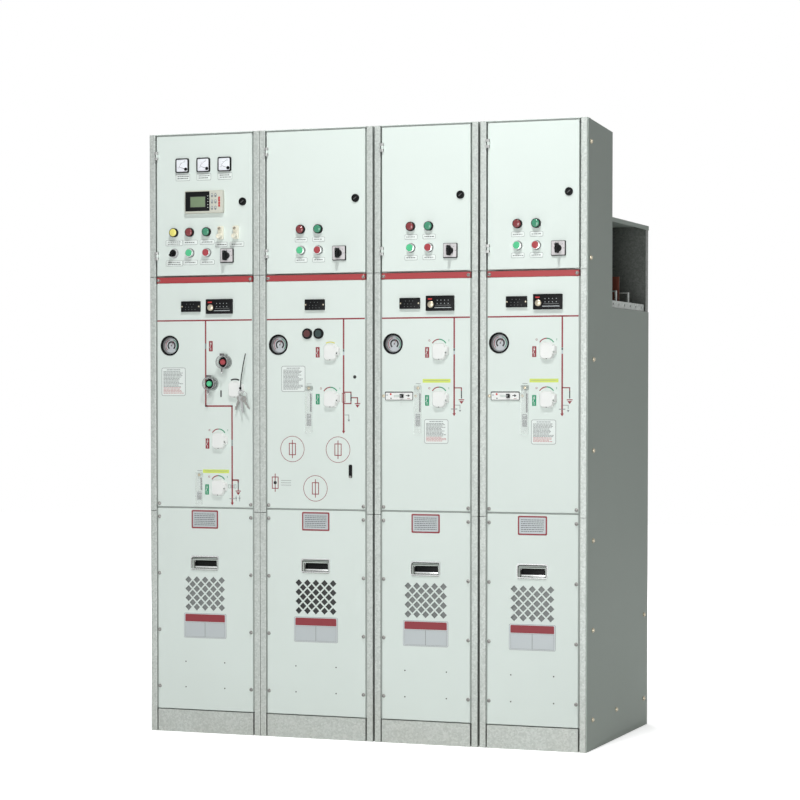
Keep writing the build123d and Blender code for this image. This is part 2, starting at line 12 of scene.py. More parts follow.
import bmesh
import bpy
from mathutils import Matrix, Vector


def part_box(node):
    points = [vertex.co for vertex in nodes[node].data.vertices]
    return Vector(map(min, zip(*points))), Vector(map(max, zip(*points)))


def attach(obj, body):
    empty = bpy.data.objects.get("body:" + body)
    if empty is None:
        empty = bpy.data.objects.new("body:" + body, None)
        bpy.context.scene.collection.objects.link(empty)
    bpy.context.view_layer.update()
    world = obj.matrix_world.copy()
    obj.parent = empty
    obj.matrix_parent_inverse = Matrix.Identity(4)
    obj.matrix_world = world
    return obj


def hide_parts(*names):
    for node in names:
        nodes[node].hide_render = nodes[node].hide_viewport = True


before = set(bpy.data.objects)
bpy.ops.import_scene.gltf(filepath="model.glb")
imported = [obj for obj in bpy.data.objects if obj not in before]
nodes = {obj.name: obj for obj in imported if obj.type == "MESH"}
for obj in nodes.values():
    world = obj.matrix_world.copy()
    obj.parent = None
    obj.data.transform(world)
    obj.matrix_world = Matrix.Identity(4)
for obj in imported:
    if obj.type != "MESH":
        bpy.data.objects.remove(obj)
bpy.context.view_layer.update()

# %% [markdown]
# Every size below is in millimetres, as on a maker's drawing, and turns into metres at the last moment.
# The row's fronts all lie in one plane. A place on a front is (x, z) and how far it stands proud of
# that plane, so that one small function can put any piece in its place.

# %% Places on the fronts
MM = 0.001
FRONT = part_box("posts_lower")[0].y / MM
LEFT = [-799.5, -378.5, 48.5, 427.5]
WIDTH = [420.0, 420.0, 372.0, 372.0]
CENTRE = [left + width / 2 for left, width in zip(LEFT, WIDTH)]


def at(x, z, proud=0.0):
    return Vector((x, FRONT - proud, z)) * MM


print("front plane at", round(FRONT, 2), "mm, centres", CENTRE)

# %% [markdown]
# The camera stands to the right of the row, a little above the middle of the doors, with a long lens.
# These numbers come from fitting a camera to the cubicles' edges. The small shift keeps the uprights
# upright while the picture is framed lower than the camera points.

# %% Camera
AZIMUTH = math.radians(20.677)
ELEVATION = math.radians(2.136)
camera_data = bpy.data.cameras.new("camera")
camera_data.sensor_width = 36.0
camera_data.lens = 110.1
camera_data.shift_y = 0.1124
camera_data.clip_end = 60.0
camera = bpy.data.objects.new("camera", camera_data)
bpy.context.scene.collection.objects.link(camera)
camera.location = (3.0758, -8.1464, 1.1748)
back = Vector((
    math.sin(AZIMUTH) * math.cos(ELEVATION),
    -math.cos(AZIMUTH) * math.cos(ELEVATION),
    math.sin(ELEVATION),
))
camera.rotation_mode = "QUATERNION"
camera.rotation_quaternion = (-back).to_track_quat("-Z", "Y")
bpy.context.scene.camera = camera
print("camera at", tuple(round(v, 3) for v in camera.location))

# %% [markdown]
# A studio for a pale object: a small steep lamp hangs above the right half and draws the crisp shadows,
# a big soft one from the front fills them, and the world is dim, so that the side cover stays darker
# than the fronts. A third lamp behind the row keeps its back readable in other views. The short helpers
# for nodes are written here, because the world is the first thing that has any.

# %% World and lamps
scene = bpy.context.scene
scene.view_settings.view_transform = "Standard"
WORLD_LIGHT = 0.14
world = bpy.data.worlds.new("studio")
scene.world = world
world.use_nodes = True
world_tree = world.node_tree
world_tree.nodes.clear()


def new_node(tree, kind, **settings):
    made = tree.nodes.new(kind)
    for key, value in settings.items():
        setattr(made, key, value)
    return made


def math_node(tree, operation, first, second):
    made = new_node(tree, "ShaderNodeMath", operation=operation)
    for place, value in enumerate((first, second)):
        if isinstance(value, (int, float)):
            made.inputs[place].default_value = value
        else:
            tree.links.new(value, made.inputs[place])
    return made.outputs[0]


def map_range(tree, value, low, high, **settings):
    made = new_node(tree, "ShaderNodeMapRange", **settings)
    made.inputs["To Min"].default_value = low
    made.inputs["To Max"].default_value = high
    tree.links.new(value, made.inputs["Value"])
    return made


def background_seen(tree):
    path = new_node(tree, "ShaderNodeLightPath")
    found = path.outputs["Is Camera Ray"]
    for kind in ("Is Glossy Ray", "Is Transmission Ray"):
        found = math_node(tree, "MAXIMUM", found, path.outputs[kind])
    return found


strength = map_range(world_tree, background_seen(world_tree), WORLD_LIGHT, 1.0)
sky = new_node(world_tree, "ShaderNodeBackground")
sky.inputs["Color"].default_value = (1.0, 1.0, 1.0, 1.0)
world_tree.links.new(strength.outputs["Result"], sky.inputs["Strength"])
world_out = new_node(world_tree, "ShaderNodeOutputWorld")
world_tree.links.new(sky.outputs[0], world_out.inputs["Surface"])


def lamp(name, place, target, size, power):
    data = bpy.data.lights.new(name, "AREA")
    data.shape = "RECTANGLE"
    data.size = size[0]
    data.size_y = size[1]
    data.energy = power
    made = bpy.data.objects.new(name, data)
    scene.collection.objects.link(made)
    made.location = place
    aim = Vector(target) - Vector(place)
    made.rotation_mode = "QUATERNION"
    made.rotation_quaternion = aim.to_track_quat("-Z", "Y")


lamp("key_lamp", (0.64, -2.4, 4.2), (0.2, -0.37, 1.5), (0.3, 0.3), 68.0)
lamp("fill_lamp", (1.0, -5.8, 1.3), (0.0, -0.37, 0.9), (2.6, 2.4), 142.0)
lamp("back_lamp", (-2.6, 5.2, 4.2), (0.0, 0.4, 1.0), (2.6, 2.0), 190.0)

# %% [markdown]
# The floor is a white studio sheet. To the camera its lit part reads as white paper, and where the row
# keeps light off it, the shadow stays.

# %% Floor
floor_mesh = bpy.data.meshes.new("studio_floor")
FLOOR_HALF = 14.0
floor_mesh.from_pydata(
    [(x * FLOOR_HALF, y * FLOOR_HALF, 0) for x, y in ((-1, -1), (1, -1), (1, 1), (-1, 1))],
    [],
    [(0, 1, 2, 3)],
)
floor = bpy.data.objects.new("studio_floor", floor_mesh)
scene.collection.objects.link(floor)
floor_material = bpy.data.materials.new("studio_white")
floor_material.use_nodes = True
floor_tree = floor_material.node_tree
floor_tree.nodes.clear()
floor_diffuse = new_node(floor_tree, "ShaderNodeBsdfDiffuse")
floor_diffuse.inputs["Color"].default_value = (0.9, 0.9, 0.9, 1.0)
floor_glow = new_node(floor_tree, "ShaderNodeEmission")
floor_place = new_node(floor_tree, "ShaderNodeTexCoord").outputs["Object"]
floor_away = new_node(floor_tree, "ShaderNodeVectorMath", operation="LENGTH")
floor_tree.links.new(floor_place, floor_away.inputs[0])
floor_white = map_range(floor_tree, floor_away.outputs["Value"], 0.62, 1.0, interpolation_type="SMOOTHSTEP")
floor_white.inputs["From Min"].default_value = 1.0
floor_white.inputs["From Max"].default_value = 2.4
floor_level = math_node(floor_tree, "MULTIPLY", background_seen(floor_tree), floor_white.outputs["Result"])
floor_tree.links.new(floor_level, floor_glow.inputs["Strength"])
floor_sum = new_node(floor_tree, "ShaderNodeAddShader")
floor_tree.links.new(floor_diffuse.outputs[0], floor_sum.inputs[0])
floor_tree.links.new(floor_glow.outputs[0], floor_sum.inputs[1])
floor_out = new_node(floor_tree, "ShaderNodeOutputMaterial")
floor_tree.links.new(floor_sum.outputs[0], floor_out.inputs["Surface"])
floor_mesh.materials.append(floor_material)
print("floor half side:", FLOOR_HALF, "m")

# %% [markdown]
# Three effects turn up in nearly every finish, so each is a node group, built once.
# *Fine grain* is the orange peel of a sprayed coat: a bump too small to see as a shape, and a slight
# drift of tone. *Zinc spangle* is the frost of crystals on galvanised sheet. *Darker low down* is a mask
# that grows towards the bottom in noisy clouds, where the colour turns darker and browner.

# %% Helpers for node groups
def new_group(name, given, results):
    tree = bpy.data.node_groups.new(name, "ShaderNodeTree")
    for title, default in given.items():
        kind = "NodeSocketColor" if isinstance(default, tuple) else "NodeSocketFloat"
        made = tree.interface.new_socket(name=title, in_out="INPUT", socket_type=kind)
        made.default_value = default
    for title in results:
        kind = "NodeSocketColor" if title == "Color" else "NodeSocketFloat"
        tree.interface.new_socket(name=title, in_out="OUTPUT", socket_type=kind)
    start = new_node(tree, "NodeGroupInput")
    end = new_node(tree, "NodeGroupOutput")
    return tree, start, end, new_node(tree, "ShaderNodeTexCoord").outputs["Object"]


def noise_node(tree, source, scale, detail=2.0):
    made = new_node(tree, "ShaderNodeTexNoise")
    made.inputs["Detail"].default_value = detail
    if isinstance(scale, float):
        made.inputs["Scale"].default_value = scale
    else:
        tree.links.new(scale, made.inputs["Scale"])
    tree.links.new(source, made.inputs["Vector"])
    return made


print("helpers ready")

# %% Fine grain
given = {"Color": (0.8, 0.8, 0.8, 1.0), "Grain Scale": 900.0, "Drift Scale": 3.0, "Drift": 0.03}
grain, grain_in, grain_out, grain_place = new_group("Fine grain", given, ("Color", "Height", "Drift Mask"))
fine = noise_node(grain, grain_place, grain_in.outputs["Grain Scale"], 3.0)
drift = noise_node(grain, grain_place, grain_in.outputs["Drift Scale"], 4.0)
centred = math_node(grain, "SUBTRACT", drift.outputs["Fac"], 0.5)
speck = math_node(grain, "SUBTRACT", fine.outputs["Fac"], 0.5)
both = math_node(grain, "ADD", centred, math_node(grain, "MULTIPLY", speck, 0.6))
scaled = math_node(grain, "MULTIPLY", both, grain_in.outputs["Drift"])
lift = math_node(grain, "ADD", math_node(grain, "MULTIPLY", scaled, 2.0), 1.0)
tone = new_node(grain, "ShaderNodeVectorMath", operation="SCALE")
grain.links.new(grain_in.outputs["Color"], tone.inputs[0])
grain.links.new(lift, tone.inputs["Scale"])
grain.links.new(tone.outputs[0], grain_out.inputs["Color"])
grain.links.new(fine.outputs["Fac"], grain_out.inputs["Height"])
grain.links.new(drift.outputs["Fac"], grain_out.inputs["Drift Mask"])
print("group:", grain.name)

# %% Zinc spangle
given = {"Dark": (0.4, 0.43, 0.41, 1.0), "Light": (0.75, 0.77, 0.75, 1.0), "Crystal Scale": 160.0}
results = ("Color", "Roughness", "Height")
spangle, spangle_in, spangle_out, spangle_place = new_group("Zinc spangle", given, results)
crystals = new_node(spangle, "ShaderNodeTexVoronoi")
spangle.links.new(spangle_place, crystals.inputs["Vector"])
spangle.links.new(spangle_in.outputs["Crystal Scale"], crystals.inputs["Scale"])
frost = noise_node(spangle, spangle_place, 420.0, 4.0)
crystal_tone = new_node(spangle, "ShaderNodeSeparateColor")
spangle.links.new(crystals.outputs["Color"], crystal_tone.inputs[0])
crystal_share = math_node(spangle, "MULTIPLY", crystal_tone.outputs[0], 0.55)
frost_share = math_node(spangle, "MULTIPLY", frost.outputs["Fac"], 0.45)
mixed_tone = math_node(spangle, "ADD", crystal_share, frost_share)
zinc_mix = new_node(spangle, "ShaderNodeMix", data_type="RGBA")
spangle.links.new(mixed_tone, zinc_mix.inputs["Factor"])
spangle.links.new(spangle_in.outputs["Dark"], zinc_mix.inputs[6])
spangle.links.new(spangle_in.outputs["Light"], zinc_mix.inputs[7])
spangle.links.new(zinc_mix.outputs[2], spangle_out.inputs["Color"])
zinc_rough = map_range(spangle, crystal_tone.outputs[1], 0.36, 0.58)
spangle.links.new(zinc_rough.outputs[0], spangle_out.inputs["Roughness"])
spangle.links.new(frost.outputs["Fac"], spangle_out.inputs["Height"])
print("group:", spangle.name)

# %% Darker low down
# A mask that grows towards the floor in noisy clouds; finishes turn darker and browner by it.
given = {"Reach": 0.35, "Amount": 0.2}
low_darkening, low_in, low_out, low_place = new_group("Darker low down", given, ("Mask",))
low_parts = new_node(low_darkening, "ShaderNodeSeparateXYZ")
low_darkening.links.new(low_place, low_parts.inputs[0])
height_share = math_node(low_darkening, "DIVIDE", low_parts.outputs["Z"], low_in.outputs["Reach"])
falling = map_range(low_darkening, height_share, 1.0, 0.0, interpolation_type="SMOOTHSTEP")
low_clouds = noise_node(low_darkening, low_place, 7.0, 5.0)
clouded = math_node(low_darkening, "MULTIPLY", falling.outputs[0], low_clouds.outputs["Fac"])
low_darkening.links.new(math_node(low_darkening, "MULTIPLY", clouded, low_in.outputs["Amount"]), low_out.inputs["Mask"])
print("group:", low_darkening.name)

# %% [markdown]
# A material here is one Principled shader with those groups placed in front of it. One function makes
# the sprayed and moulded finishes, because on the real unit they differ only in colour, gloss and how
# coarse their skin is.

# %% Makers of materials
def bare_material(name):
    made = bpy.data.materials.new(name)
    made.use_nodes = True
    made.node_tree.nodes.clear()
    shader = new_node(made.node_tree, "ShaderNodeBsdfPrincipled")
    out = new_node(made.node_tree, "ShaderNodeOutputMaterial")
    made.node_tree.links.new(shader.outputs[0], out.inputs["Surface"])
    return made, made.node_tree, shader


def place_group(tree, group, **values):
    made = new_node(tree, "ShaderNodeGroup", node_tree=group)
    for key, value in values.items():
        made.inputs[key.replace("_", " ")].default_value = value
    return made


def add_bump(tree, shader, height, strength, distance):
    bump = new_node(tree, "ShaderNodeBump")
    bump.inputs["Strength"].default_value = strength
    bump.inputs["Distance"].default_value = distance
    tree.links.new(height, bump.inputs["Height"])
    tree.links.new(bump.outputs[0], shader.inputs["Normal"])


def darken_low(tree, clean, amount, low_color):
    # Mixes the colour towards a darker brown by the low-down mask.
    darkener = place_group(tree, low_darkening, Amount=amount)
    blend = new_node(tree, "ShaderNodeMix", data_type="RGBA")
    tree.links.new(darkener.outputs["Mask"], blend.inputs["Factor"])
    tree.links.new(clean, blend.inputs[6])
    blend.inputs[7].default_value = low_color
    return blend.outputs[2]


def coat(name, color, rough, drift=0.03, grain_scale=900.0, bump=0.1, metal=0.0, low_dark=0.0, shine=0.35):
    made, tree, shader = bare_material(name)
    skin = place_group(tree, grain, Color=(*color, 1.0), Grain_Scale=grain_scale, Drift=drift)
    color_out = skin.outputs["Color"]
    if low_dark:
        color_out = darken_low(tree, color_out, low_dark, (0.32, 0.29, 0.24, 1.0))
    tree.links.new(color_out, shader.inputs["Base Color"])
    rough_range = map_range(tree, skin.outputs["Drift Mask"], rough - 0.05, rough + 0.05)
    tree.links.new(rough_range.outputs[0], shader.inputs["Roughness"])
    shader.inputs["Metallic"].default_value = metal
    shader.inputs["Specular IOR Level"].default_value = shine
    add_bump(tree, shader, skin.outputs["Height"], bump, 0.0004)
    return made


print("makers ready")

# %% Sprayed and moulded finishes
powder_coat = coat("powder_coat", (0.685, 0.76, 0.72), 0.48, low_dark=0.1, shine=0.2)
# The same powder coat made darker for the side covers, the busbar lid and the low-voltage boxes: painted shade.
side_coat_painted_shade = coat("side_powder_coat_painted_shade", (0.44, 0.51, 0.46), 0.5, drift=0.05, low_dark=0.12, shine=0.12)
red_coat = coat("red_coat", (0.37, 0.05, 0.055), 0.4)
black_moulding = coat("black_moulding", (0.006, 0.0065, 0.007), 0.4, grain_scale=1600.0, shine=0.1)
white_moulding = coat("white_moulding", (0.79, 0.81, 0.79), 0.34, drift=0.015, grain_scale=1600.0)
brown_board = coat("brown_board", (0.23, 0.062, 0.035), 0.55, drift=0.12)
inner_steel = coat("inner_steel", (0.30, 0.32, 0.30), 0.6, drift=0.1)
# Grey of the strips laid in the gaps round the plates: painted shade.
gap_shade_grey = coat("gap_shade_grey", (0.29, 0.32, 0.30), 0.6, drift=0.05)
mesh_grey = coat("mesh_grey", (0.22, 0.235, 0.23), 0.6, drift=0.3, grain_scale=320.0)
mesh_dark = coat("mesh_dark", (0.035, 0.036, 0.036), 0.6, drift=0.5, grain_scale=320.0)
print("finishes:", [m.name for m in bpy.data.materials])

# %% Zinc, chrome and clear plastic
def zinc(name, dark, light, crystal, metal=0.55, low_dark=0.25):
    made, tree, shader = bare_material(name)
    skin = place_group(tree, spangle, Dark=(*dark, 1.0), Light=(*light, 1.0), Crystal_Scale=crystal)
    color_out = darken_low(tree, skin.outputs["Color"], low_dark, (0.3, 0.26, 0.2, 1.0))
    tree.links.new(color_out, shader.inputs["Base Color"])
    tree.links.new(skin.outputs["Roughness"], shader.inputs["Roughness"])
    shader.inputs["Metallic"].default_value = metal
    add_bump(tree, shader, skin.outputs["Height"], 0.12, 0.0003)
    return made


galvanised = zinc("galvanised", (0.33, 0.36, 0.34), (0.55, 0.59, 0.56), 190.0, metal=0.4)
# The busbar duct's zinc, much darker than the galvanised sheet: painted shade for the inside of the duct.
duct_zinc_painted_shade = zinc("duct_zinc_painted_shade", (0.12, 0.13, 0.12), (0.24, 0.26, 0.24), 190.0, metal=0.2)
bright_sheet = coat("bright_sheet", (0.52, 0.535, 0.53), 0.26, metal=1.0, bump=0.02)
chrome = coat("chrome", (0.62, 0.63, 0.63), 0.16, metal=1.0, bump=0.02)
hinge_steel = coat("hinge_steel", (0.36, 0.37, 0.36), 0.3, metal=0.9, drift=0.06)
clear_plastic, clear_tree, clear_shader = bare_material("clear_plastic")
clear_skin = place_group(clear_tree, grain, Color=(0.86, 0.90, 0.88, 1.0), Drift=0.02)
clear_tree.links.new(clear_skin.outputs["Color"], clear_shader.inputs["Base Color"])
clear_shader.inputs["Roughness"].default_value = 0.12
clear_shader.inputs["Alpha"].default_value = 0.2
print("metals and clear plastic ready")

# %% Finishes of the carried-over solids
wearers = {
    galvanised: "posts_lower posts_middle posts_upper plinth_fronts rear_panels end_strips busbar_brackets",
    powder_coat: "roof_trims mechanism_panels cable_covers lv_door_1 lv_door_2 lv_door_3 lv_door_4",
    side_coat_painted_shade: "busbar_lid side_cover_left side_cover_right lv_box_1 lv_box_2 lv_box_3 lv_box_4",
    duct_zinc_painted_shade: "busbar_tray",
    inner_steel: "housings",
    red_coat: "title_strips",
    hinge_steel: "hinge_arms",
    bright_sheet: "pull_handles",
    clear_plastic: "press_guards window_strips",
    white_moulding: "padlock_plates",
    brown_board: "busbar_barriers",
}
finish_of = {name: finish for finish, names in wearers.items() for name in names.split()}
for name, node in nodes.items():
    finish = finish_of.get(name)
    if finish is None:
        finish = white_moulding if name.startswith("operating_cap") else black_moulding
    node.data.materials.clear()
    node.data.materials.append(finish)
print("solids with a finish:", len(nodes))

# %% [markdown]
# The small pieces are all made the same way: an outline drawn on the front plane, repeated at a few
# depths, and skinned. A shape is a function that gives its outline, drawn in by any distance, which is
# what turns a hard edge into a rounded one. `Piece` gathers such skins, each with its own finish, into
# one named object that rides on its door or cubicle.

# %% Outlines
def around(x, z, reach, turn):
    return (x + reach * math.cos(turn), z + reach * math.sin(turn))


def box_shape(x, z, width, height, radius=0.0, arc=4):
    def outline(inset=0.0):
        across = width / 2 - inset
        up = height / 2 - inset
        if not radius:
            return [(x - across, z - up), (x + across, z - up), (x + across, z + up), (x - across, z + up)]
        bend = max(radius - inset, 0.05)
        wide = across - bend
        tall = up - bend
        corners = ((wide, -tall, -90), (wide, tall, 0), (-wide, tall, 90), (-wide, -tall, 180))
        points = []
        for corner_x, corner_z, start in corners:
            for step in range(arc + 1):
                turn = math.radians(start + 90 * step / arc)
                points.append(around(x + corner_x, z + corner_z, bend, turn))
        return points
    return outline


def round_shape(x, z, radius, steps=32):
    def outline(inset=0.0):
        reach = max(radius - inset, 0.05)
        return [around(x, z, reach, 2 * math.pi * step / steps) for step in range(steps)]
    return outline


def poly_shape(points):
    def outline(inset=0.0):
        return list(points)
    return outline


def line_shape(start, end, width):
    along = Vector(end) - Vector(start)
    side = Vector((-along.y, along.x)).normalized() * width / 2
    ends = (Vector(start) - side, Vector(end) - side, Vector(end) + side, Vector(start) + side)
    return poly_shape([tuple(point) for point in ends])


def arc_shape(x, z, inner, outer, start, end, steps=14):
    turns = [math.radians(start + (end - start) * step / steps) for step in range(steps + 1)]
    outside = [around(x, z, outer, turn) for turn in turns]
    inside = [around(x, z, inner, turn) for turn in reversed(turns)]
    return poly_shape(outside + inside)


print("outlines: box, round, poly, line, arc")

# %% One named piece
class Piece:
    def __init__(self, name, left=0.0):
        self.name = name
        self.left = left
        self.work = bmesh.new()
        self.finishes = []

    def level(self, outline, proud):
        return [at(self.left + x, z, proud) for x, z in outline]

    def index(self, finish):
        if finish not in self.finishes:
            self.finishes.append(finish)
        return self.finishes.index(finish)

    def skin(self, loops, finish, joined=False):
        index = self.index(finish)
        rows = [[self.work.verts.new(point) for point in loop] for loop in loops]
        pairs = list(zip(rows, rows[1:]))
        if joined:
            pairs.append((rows[-1], rows[0]))
        for lower, upper in pairs:
            for here in range(len(lower)):
                there = (here + 1) % len(lower)
                face = self.work.faces.new((lower[here], lower[there], upper[there], upper[here]))
                face.material_index = index
        if not joined:
            for end in (rows[0], rows[-1]):
                self.work.faces.new(end).material_index = index

    def slab(self, shape, low, high, finish, edge=0.4):
        steps = ((0.0, low), (0.0, high - edge), (edge * 0.3, high - edge * 0.3), (edge, high))
        if edge <= 0:
            steps = ((0.0, low), (0.0, high))
        self.skin([self.level(shape(inset), proud) for inset, proud in steps], finish)

    def flat(self, shape, low, high, finish):
        self.slab(shape, low, high, finish, 0.0)

    def ring(self, outer, inner, low, high, finish, edge=0.4):
        steps = (
            (outer, 0.0, low),
            (outer, 0.0, high - edge),
            (outer, edge, high),
            (inner, -edge, high),
            (inner, 0.0, high - edge),
            (inner, 0.0, low),
        )
        self.skin([self.level(shape(inset), proud) for shape, inset, proud in steps], finish, joined=True)

    def turned(self, x, z, profile, finish, steps=32):
        self.skin([self.level(round_shape(x, z, radius, steps)(), proud) for radius, proud in profile], finish)

    def tube(self, points, radius, finish, sides=8, looped=False):
        path = [Vector(point) * MM for point in points]
        loops = []
        normal = None
        for place, point in enumerate(path):
            before = path[place - 1] if place or looped else point
            after = path[(place + 1) % len(path)] if place < len(path) - 1 or looped else point
            along = (after - before).normalized()
            if normal is None:
                normal = along.orthogonal().normalized()
            normal = (normal - along * normal.dot(along)).normalized()
            across = along.cross(normal)
            turns = [2 * math.pi * step / sides for step in range(sides)]
            loops.append([point + (normal * math.cos(t) + across * math.sin(t)) * radius * MM for t in turns])
        self.skin(loops, finish, joined=looped)

    def done(self, body, smooth=32.0, replaces=()):
        bmesh.ops.recalc_face_normals(self.work, faces=self.work.faces)
        mesh = bpy.data.meshes.new(self.name)
        self.work.to_mesh(mesh)
        self.work.free()
        for finish in self.finishes:
            mesh.materials.append(finish)
        mesh.polygons.foreach_set("use_smooth", [True] * len(mesh.polygons))
        mesh.set_sharp_from_angle(angle=math.radians(smooth))
        made = bpy.data.objects.new(self.name, mesh)
        scene.collection.objects.link(made)
        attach(made, body)
        if replaces:
            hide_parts(*replaces)


ROOT = "cubicles"
print("piece maker ready")

# %% [markdown]
# Lamps, lenses and inks each get a small finish of their own. A pilot lamp's lens is glossy, deep
# coloured plastic over a dull reflector, so a strong base colour with a clear coat reads better than
# real glass would at this size.

# %% Lens and ink finishes
def lens(name, color):
    made = coat(name, color, 0.18, drift=0.06, grain_scale=300.0, bump=0.05)
    shader = [n for n in made.node_tree.nodes if n.type == "BSDF_PRINCIPLED"][0]
    shader.inputs["Coat Weight"].default_value = 0.6
    shader.inputs["Coat Roughness"].default_value = 0.08
    return made


def ink(name, color):
    return coat(name, color, 0.5, drift=0.04, grain_scale=700.0, bump=0.03)


lens_red = lens("lens_red", (0.20, 0.016, 0.02))
lens_green = lens("lens_green", (0.03, 0.24, 0.13))
lens_yellow = lens("lens_yellow", (0.78, 0.72, 0.16))
button_green = lens("button_green", (0.07, 0.52, 0.24))
button_red = lens("button_red", (0.36, 0.035, 0.045))
ink_red = ink("ink_red", (0.25, 0.036, 0.045))
ink_green = ink("ink_green", (0.02, 0.26, 0.13))
ink_grey = ink("ink_grey", (0.24, 0.26, 0.26))
ink_red_pale = ink("ink_red_pale", (0.52, 0.26, 0.26))
ink_dark = ink("ink_dark", (0.09, 0.10, 0.10))
ink_grey_pale = ink("ink_grey_pale", (0.48, 0.51, 0.54))
ink_black = ink("ink_black", (0.02, 0.02, 0.02))
ink_yellow = ink("ink_yellow", (0.62, 0.60, 0.10))
ink_lime = ink("ink_lime", (0.60, 0.72, 0.14))
label_white = coat("label_white", (0.74, 0.80, 0.77), 0.34, drift=0.02)
label_grey = coat("label_grey", (0.46, 0.50, 0.51), 0.36, drift=0.03, metal=0.15)
label_border = coat("label_border", (0.58, 0.62, 0.63), 0.36, drift=0.03)
gauge_dial = coat("gauge_dial", (0.50, 0.53, 0.55), 0.3, drift=0.03)
dial_white = coat("dial_white", (0.83, 0.86, 0.90), 0.3, drift=0.02)
screen_green = coat("screen_green", (0.17, 0.24, 0.14), 0.12, drift=0.05)
cream_moulding = coat("cream_moulding", (0.55, 0.56, 0.485), 0.42, drift=0.03)
ivory_moulding = coat("ivory_moulding", (0.80, 0.78, 0.66), 0.35, drift=0.03)
red_moulding = coat("red_moulding", (0.5, 0.03, 0.03), 0.4)
screw_steel = coat("screw_steel", (0.28, 0.28, 0.265), 0.32, metal=0.7, drift=0.08)
screw_brass = coat("screw_brass", (0.42, 0.38, 0.29), 0.32, metal=0.9, drift=0.08)
satin_steel = coat("satin_steel", (0.40, 0.41, 0.41), 0.35, metal=0.7, drift=0.06)
# Lit, mid and shaded copies of one bright metal for the slopes of the pull handle's lip: painted light and
# shade.
slope_lit = coat("slope_lit", (0.66, 0.67, 0.64), 0.25, metal=0.8, drift=0.06)
slope_mid = coat("slope_mid", (0.34, 0.35, 0.33), 0.25, metal=0.8, drift=0.08)
slope_shaded = coat("slope_shaded", (0.13, 0.135, 0.115), 0.25, metal=0.8, drift=0.12)
switch_plate = coat("switch_plate", (0.58, 0.565, 0.57), 0.36, drift=0.04)
lamp_dark_red = lens("lamp_dark_red", (0.085, 0.012, 0.012))
lamp_dark_green = lens("lamp_dark_green", (0.008, 0.032, 0.03))
dark_steel = coat("dark_steel", (0.12, 0.12, 0.12), 0.3, metal=0.7, drift=0.06)
print("finishes now:", len(bpy.data.materials))

# %% [markdown]
# The low-voltage doors come first. Every door carries two pilot lamps over two push buttons, a cam
# switch and a round lock. The frame has these as plain solids on one node per door, so the dressed
# pieces replace that node as a set.

# %% Lamps, buttons and locks
LAMP_Z = 1756
BUTTON_Z = 1684
LOCK_Z = 1858
LAMP_X = (-53, 12)
chance = random.Random(11)


def pilot_lamp(piece, x, z, glass):
    piece.turned(x, z, [(15.6, 0), (15.6, 12.2), (15, 13.6), (13.4, 13.8)], black_moulding)
    piece.turned(x, z, [(13.4, 8), (13.4, 13.9), (12.2, 15.4), (8.8, 16.6), (4.4, 17.1), (1.2, 17.2)], glass)


def push_button(piece, x, z, cap):
    # The dark ring at the foot of the chrome ring is painted shade along its edge.
    piece.turned(x, z, [(15.8, 0), (15.8, 3), (15, 3.8)], dark_steel)
    piece.turned(x, z, [(14.4, 2), (14.4, 12.8), (13.8, 14), (12.4, 14.4)], chrome)
    piece.turned(x, z, [(12.3, 8), (12.3, 14.9), (11.5, 15.8), (9.2, 16.1)], cap)


def quarter_lock(piece, x, z):
    face = [(13.8, 0), (13.8, 4), (12.8, 5.4), (10.8, 5.8), (10.2, 4.4), (3, 4.4)]
    piece.turned(x, z, face, black_moulding)
    piece.slab(line_shape((x - 5, z - 4), (x + 5, z + 4), 2.6), 4.2, 6.6, dark_steel)


def small_label(piece, x, z, width, height, rows=1):
    piece.slab(box_shape(x, z, width, height, 3.5), 0, 0.5, ink_grey, 0.15)
    piece.slab(box_shape(x, z, width - 2.2, height - 2.2, 2.6), 0, 0.62, label_white, 0.1)
    for row in range(rows):
        level = z + (rows - 1) * 3.6 - row * 7.2
        place = x - width * 0.36
        while place < x + width * 0.30:
            length = chance.uniform(3, 8)
            piece.flat(line_shape((place, level), (place + length, level), 2.7), 0.5, 0.75, ink_dark)
            place += length + 1.6


def barrels(piece, x, z):
    piece.turned(x, z, [(11, -42), (11, -0.5)], black_moulding, 20)


for panel in range(4):
    middle = CENTRE[panel]
    body = f"door_{panel + 1}"
    fittings = Piece(f"door_{panel + 1}_lamps_and_buttons")
    pilot_lamp(fittings, middle + LAMP_X[0], LAMP_Z, lens_red)
    pilot_lamp(fittings, middle + LAMP_X[1], LAMP_Z, lens_green)
    push_button(fittings, middle + LAMP_X[0], BUTTON_Z, button_green)
    push_button(fittings, middle + LAMP_X[1], BUTTON_Z, button_red)
    for x in LAMP_X:
        barrels(fittings, middle + x, LAMP_Z)
        barrels(fittings, middle + x, BUTTON_Z)
    if panel == 0:
        pilot_lamp(fittings, middle - 114, LAMP_Z, lens_yellow)
        barrels(fittings, middle - 114, LAMP_Z)
    quarter_lock(fittings, LEFT[panel] + WIDTH[panel] - 62, LOCK_Z)
    fittings.done(body, replaces=(f"door_instruments_{panel + 1}",))
    labels = Piece(f"door_{panel + 1}_labels")
    for x in LAMP_X:
        small_label(labels, middle + x, LAMP_Z - 35, 56 if panel == 0 else 46, 17)
        small_label(labels, middle + x, BUTTON_Z - 33, 56 if panel == 0 else 46, 17)
    labels.done(body)
print("doors dressed:", 4)

# %% Cam switches
CAM_SWITCH_Z = 1672


